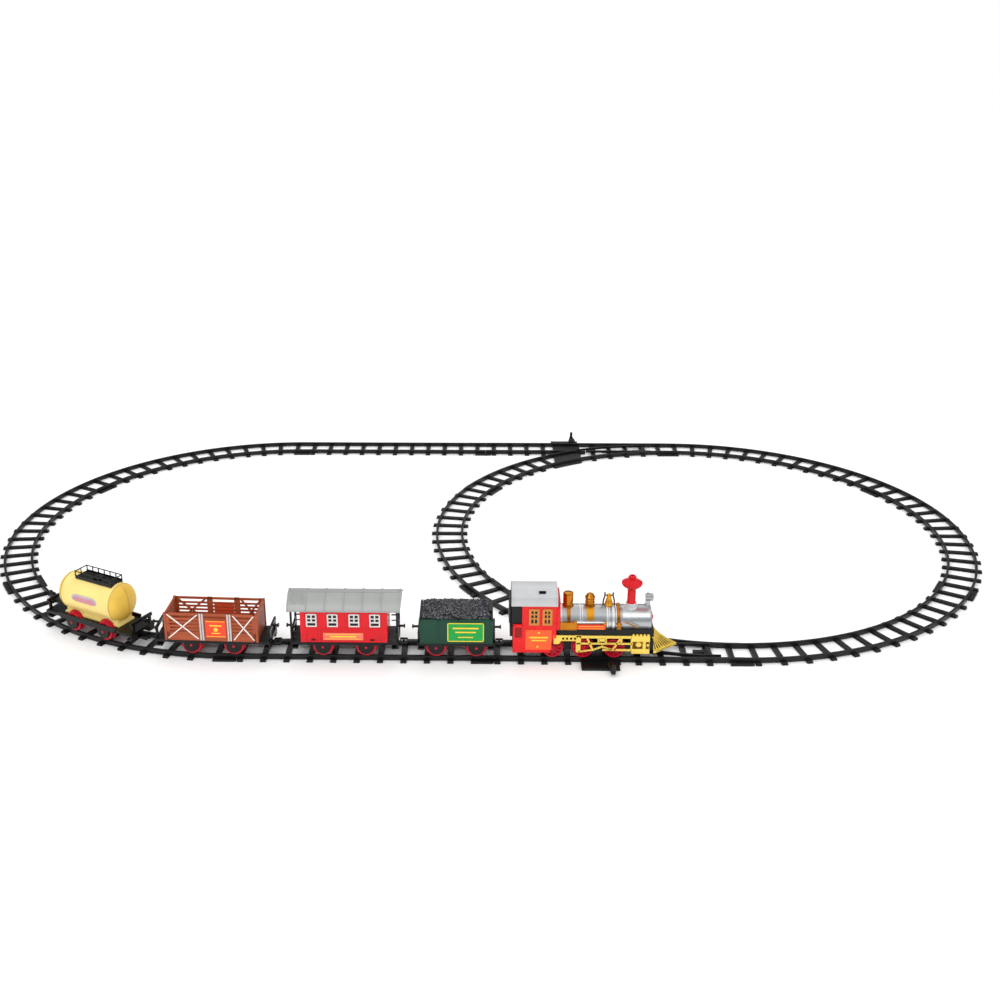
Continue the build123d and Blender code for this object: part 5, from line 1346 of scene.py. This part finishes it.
PLAIN_PARTS = {"engine_chassis": "chassis", "tender_chassis": "chassis", "coach_chassis": "chassis",
    "wagon_chassis": "chassis", "tank_chassis": "chassis", "link_tender": "chassis",
    "link_coach": "chassis", "link_wagon": "chassis", "link_tank": "chassis", "power_switch": "chassis",
    "drive_motor": "steel", "motor_pinion": "nylon", "batteries": "battery",}


def build_underframes(context):
    """Soften and finish the underframes, couplings and drive."""
    for node, material in PLAIN_PARTS.items():
        softened(node.title(), node, material, 0.25)


# ------------------------------------------------------------------ stage

def stage_world(scene):
    """Plain white surroundings; mirrored in gloss they are dim at the sides and bright overhead."""
    world = bpy.data.worlds.new("Studio")
    world.use_nodes = True
    tree = world.node_tree
    tree.nodes.clear()
    place = add(tree, "ShaderNodeTexCoord")
    parts = add(tree, "ShaderNodeSeparateXYZ", {0: place.outputs["Generated"]})
    sky = ramp(tree, parts.outputs["Z"], (0.0, (0.34, 0.34, 0.35)), (1.0, (1.0, 1.0, 1.0)),
        (0.45, (0.16, 0.165, 0.18)), (0.72, (0.8, 0.8, 0.8)))
    mirrored = add(tree, "ShaderNodeBackground", {"Color": sky, "Strength": 1.0})
    plain = add(tree, "ShaderNodeBackground", {"Color": (1.0, 1.0, 1.0, 1.0), "Strength": 1.06})
    ray = add(tree, "ShaderNodeLightPath")
    mixed = add(tree, "ShaderNodeMixShader", {0: ray.outputs["Is Glossy Ray"], 1: plain, 2: mirrored})
    add(tree, "ShaderNodeOutputWorld", {"Surface": mixed})
    scene.world = world


def stage_camera(scene):
    """Camera a little above the near side, almost square to it."""
    lens = bpy.data.cameras.new("Camera")
    lens.sensor_width = 36.0
    lens.lens = 47.53
    lens.shift_x = 0.0551
    lens.shift_y = 0.0108
    lens.clip_end = 200
    lens.dof.use_dof = False
    camera = placed("Camera", lens)
    pitch, yaw, roll = math.radians(22.49), math.radians(1.774), math.radians(-0.383)
    right = Vector((math.cos(yaw), math.sin(yaw), 0))
    forward = Vector((-math.sin(yaw) * math.cos(pitch), math.cos(yaw) * math.cos(pitch), -math.sin(pitch)))
    up = right.cross(forward)
    across = right * math.cos(roll) + up * math.sin(roll)
    upward = up * math.cos(roll) - right * math.sin(roll)
    turned = Matrix((across, upward, -forward)).transposed().to_4x4()
    camera.matrix_world = Matrix.Translation((-0.00427, -1.7215, 0.7492)) @ turned
    scene.camera = camera


def build_stage(context):
    """Pale floor, soft light and camera."""
    scene = context.scene
    scene.view_settings.view_transform = "Standard"
    material, tree, shader = new_material("pale_matt_floor")
    feed(tree, shader, {"Base Color": (0.95, 0.95, 0.95, 1.0), "Roughness": 0.9, "Specular IOR Level": 0.0})
    mesh = bmesh.new()
    bmesh.ops.create_grid(mesh, x_segments=1, y_segments=1, size=60)
    data = bpy.data.meshes.new("Floor")
    mesh.to_mesh(data)
    mesh.free()
    data.materials.append(material)
    floor = placed("Floor", data)
    floor.location.z = -0.0002
    stage_world(scene)
    for name, place, size, power in (("Key_light", (-0.9, -2.0, 2.3), 1.6, 20),
            ("Fill_light", (1.9, -1.3, 1.5), 1.8, 6), ("Back_light", (0.3, 2.2, 2.0), 1.6, 7)):
        lamp = bpy.data.lights.new(name, "AREA")
        lamp.size = size
        lamp.energy = power
        light = placed(name, lamp)
        light.location = place
        light.rotation_euler = (-Vector(place)).to_track_quat("-Z", "Y").to_euler()
    stage_camera(scene)


# ------------------------------------------------------------------ add-on

class Step:
    """One step of the build."""

    def execute(self, context):
        type(self).build(context)
        return {"FINISHED"}


class TRAIN_OT_track(Step, bpy.types.Operator):
    """Lay the curves and straights"""

    bl_idname = "train.track"
    bl_label = "Track"
    build = staticmethod(build_track)


class TRAIN_OT_wheels(Step, bpy.types.Operator):
    """Turn the wheelsets"""

    bl_idname = "train.wheels"
    bl_label = "Wheels"
    build = staticmethod(build_wheels)


class TRAIN_OT_boiler(Step, bpy.types.Operator):
    """Boiler, its bands, domes, chimney, bell and headlamp"""

    bl_idname = "train.boiler"
    bl_label = "Boiler"
    build = staticmethod(build_boiler)


class TRAIN_OT_cab(Step, bpy.types.Operator):
    """Cab with its panels, windows, label and roof"""

    bl_idname = "train.cab"
    bl_label = "Cab"
    build = staticmethod(build_cab)


class TRAIN_OT_frames(Step, bpy.types.Operator):
    """Gold side frames and cowcatcher"""

    bl_idname = "train.frames"
    bl_label = "Side frames"
    build = staticmethod(build_frames)


class TRAIN_OT_tender(Step, bpy.types.Operator):
    """Tender walls, label and coal"""

    bl_idname = "train.tender"
    bl_label = "Tender"
    build = staticmethod(build_tender)


class TRAIN_OT_coach(Step, bpy.types.Operator):
    """Coach walls, windows, roof and end railings"""

    bl_idname = "train.coach"
    bl_label = "Coach"
    build = staticmethod(build_coach)


class TRAIN_OT_wagon(Step, bpy.types.Operator):
    """Open wagon with slatted walls"""

    bl_idname = "train.wagon"
    bl_label = "Open wagon"
    build = staticmethod(build_wagon)


class TRAIN_OT_tank(Step, bpy.types.Operator):
    """Tank car shell, walkway and label"""

    bl_idname = "train.tank"
    bl_label = "Tank car"
    build = staticmethod(build_tank)


class TRAIN_OT_underframes(Step, bpy.types.Operator):
    """Soften and finish the underframes, couplings and drive"""

    bl_idname = "train.underframes"
    bl_label = "Underframes"
    build = staticmethod(build_underframes)


class TRAIN_OT_stage(Step, bpy.types.Operator):
    """Pale floor, soft light and camera"""

    bl_idname = "train.stage"
    bl_label = "Stage"
    build = staticmethod(build_stage)


class TRAIN_PT_panel(bpy.types.Panel):
    """Sizes, colours and the steps of the build"""

    bl_idname = "TRAIN_PT_panel"
    bl_label = "Toy train"
    bl_space_type = "VIEW_3D"
    bl_region_type = "UI"
    bl_category = "Train"

    def draw(self, context):
        for group in (context.scene.train_sizes, context.scene.train_colours):
            box = self.layout.box()
            for name in group.bl_rna.properties.keys():
                if name not in ("rna_type", "name"):
                    box.prop(group, name)
        for step in STEPS:
            self.layout.operator(step.bl_idname)


STEPS = (TRAIN_OT_track, TRAIN_OT_wheels, TRAIN_OT_boiler, TRAIN_OT_cab, TRAIN_OT_frames, TRAIN_OT_tender,
    TRAIN_OT_coach, TRAIN_OT_wagon, TRAIN_OT_tank, TRAIN_OT_underframes, TRAIN_OT_stage)
CLASSES = (TrainColours, TrainSizes, *STEPS, TRAIN_PT_panel)


def register():
    for cls in CLASSES:
        bpy.utils.register_class(cls)
    bpy.types.Scene.train_sizes = PointerProperty(type=TrainSizes)
    bpy.types.Scene.train_colours = PointerProperty(type=TrainColours)


def unregister():
    del bpy.types.Scene.train_colours
    del bpy.types.Scene.train_sizes
    for cls in reversed(CLASSES):
        bpy.utils.unregister_class(cls)


def main():
    register()
    make_materials(bpy.context.scene.train_colours)
    for step in STEPS:
        section_name, action = step.bl_idname.split(".")
        getattr(getattr(bpy.ops, section_name), action)()


if __name__ == "__main__":
    main()
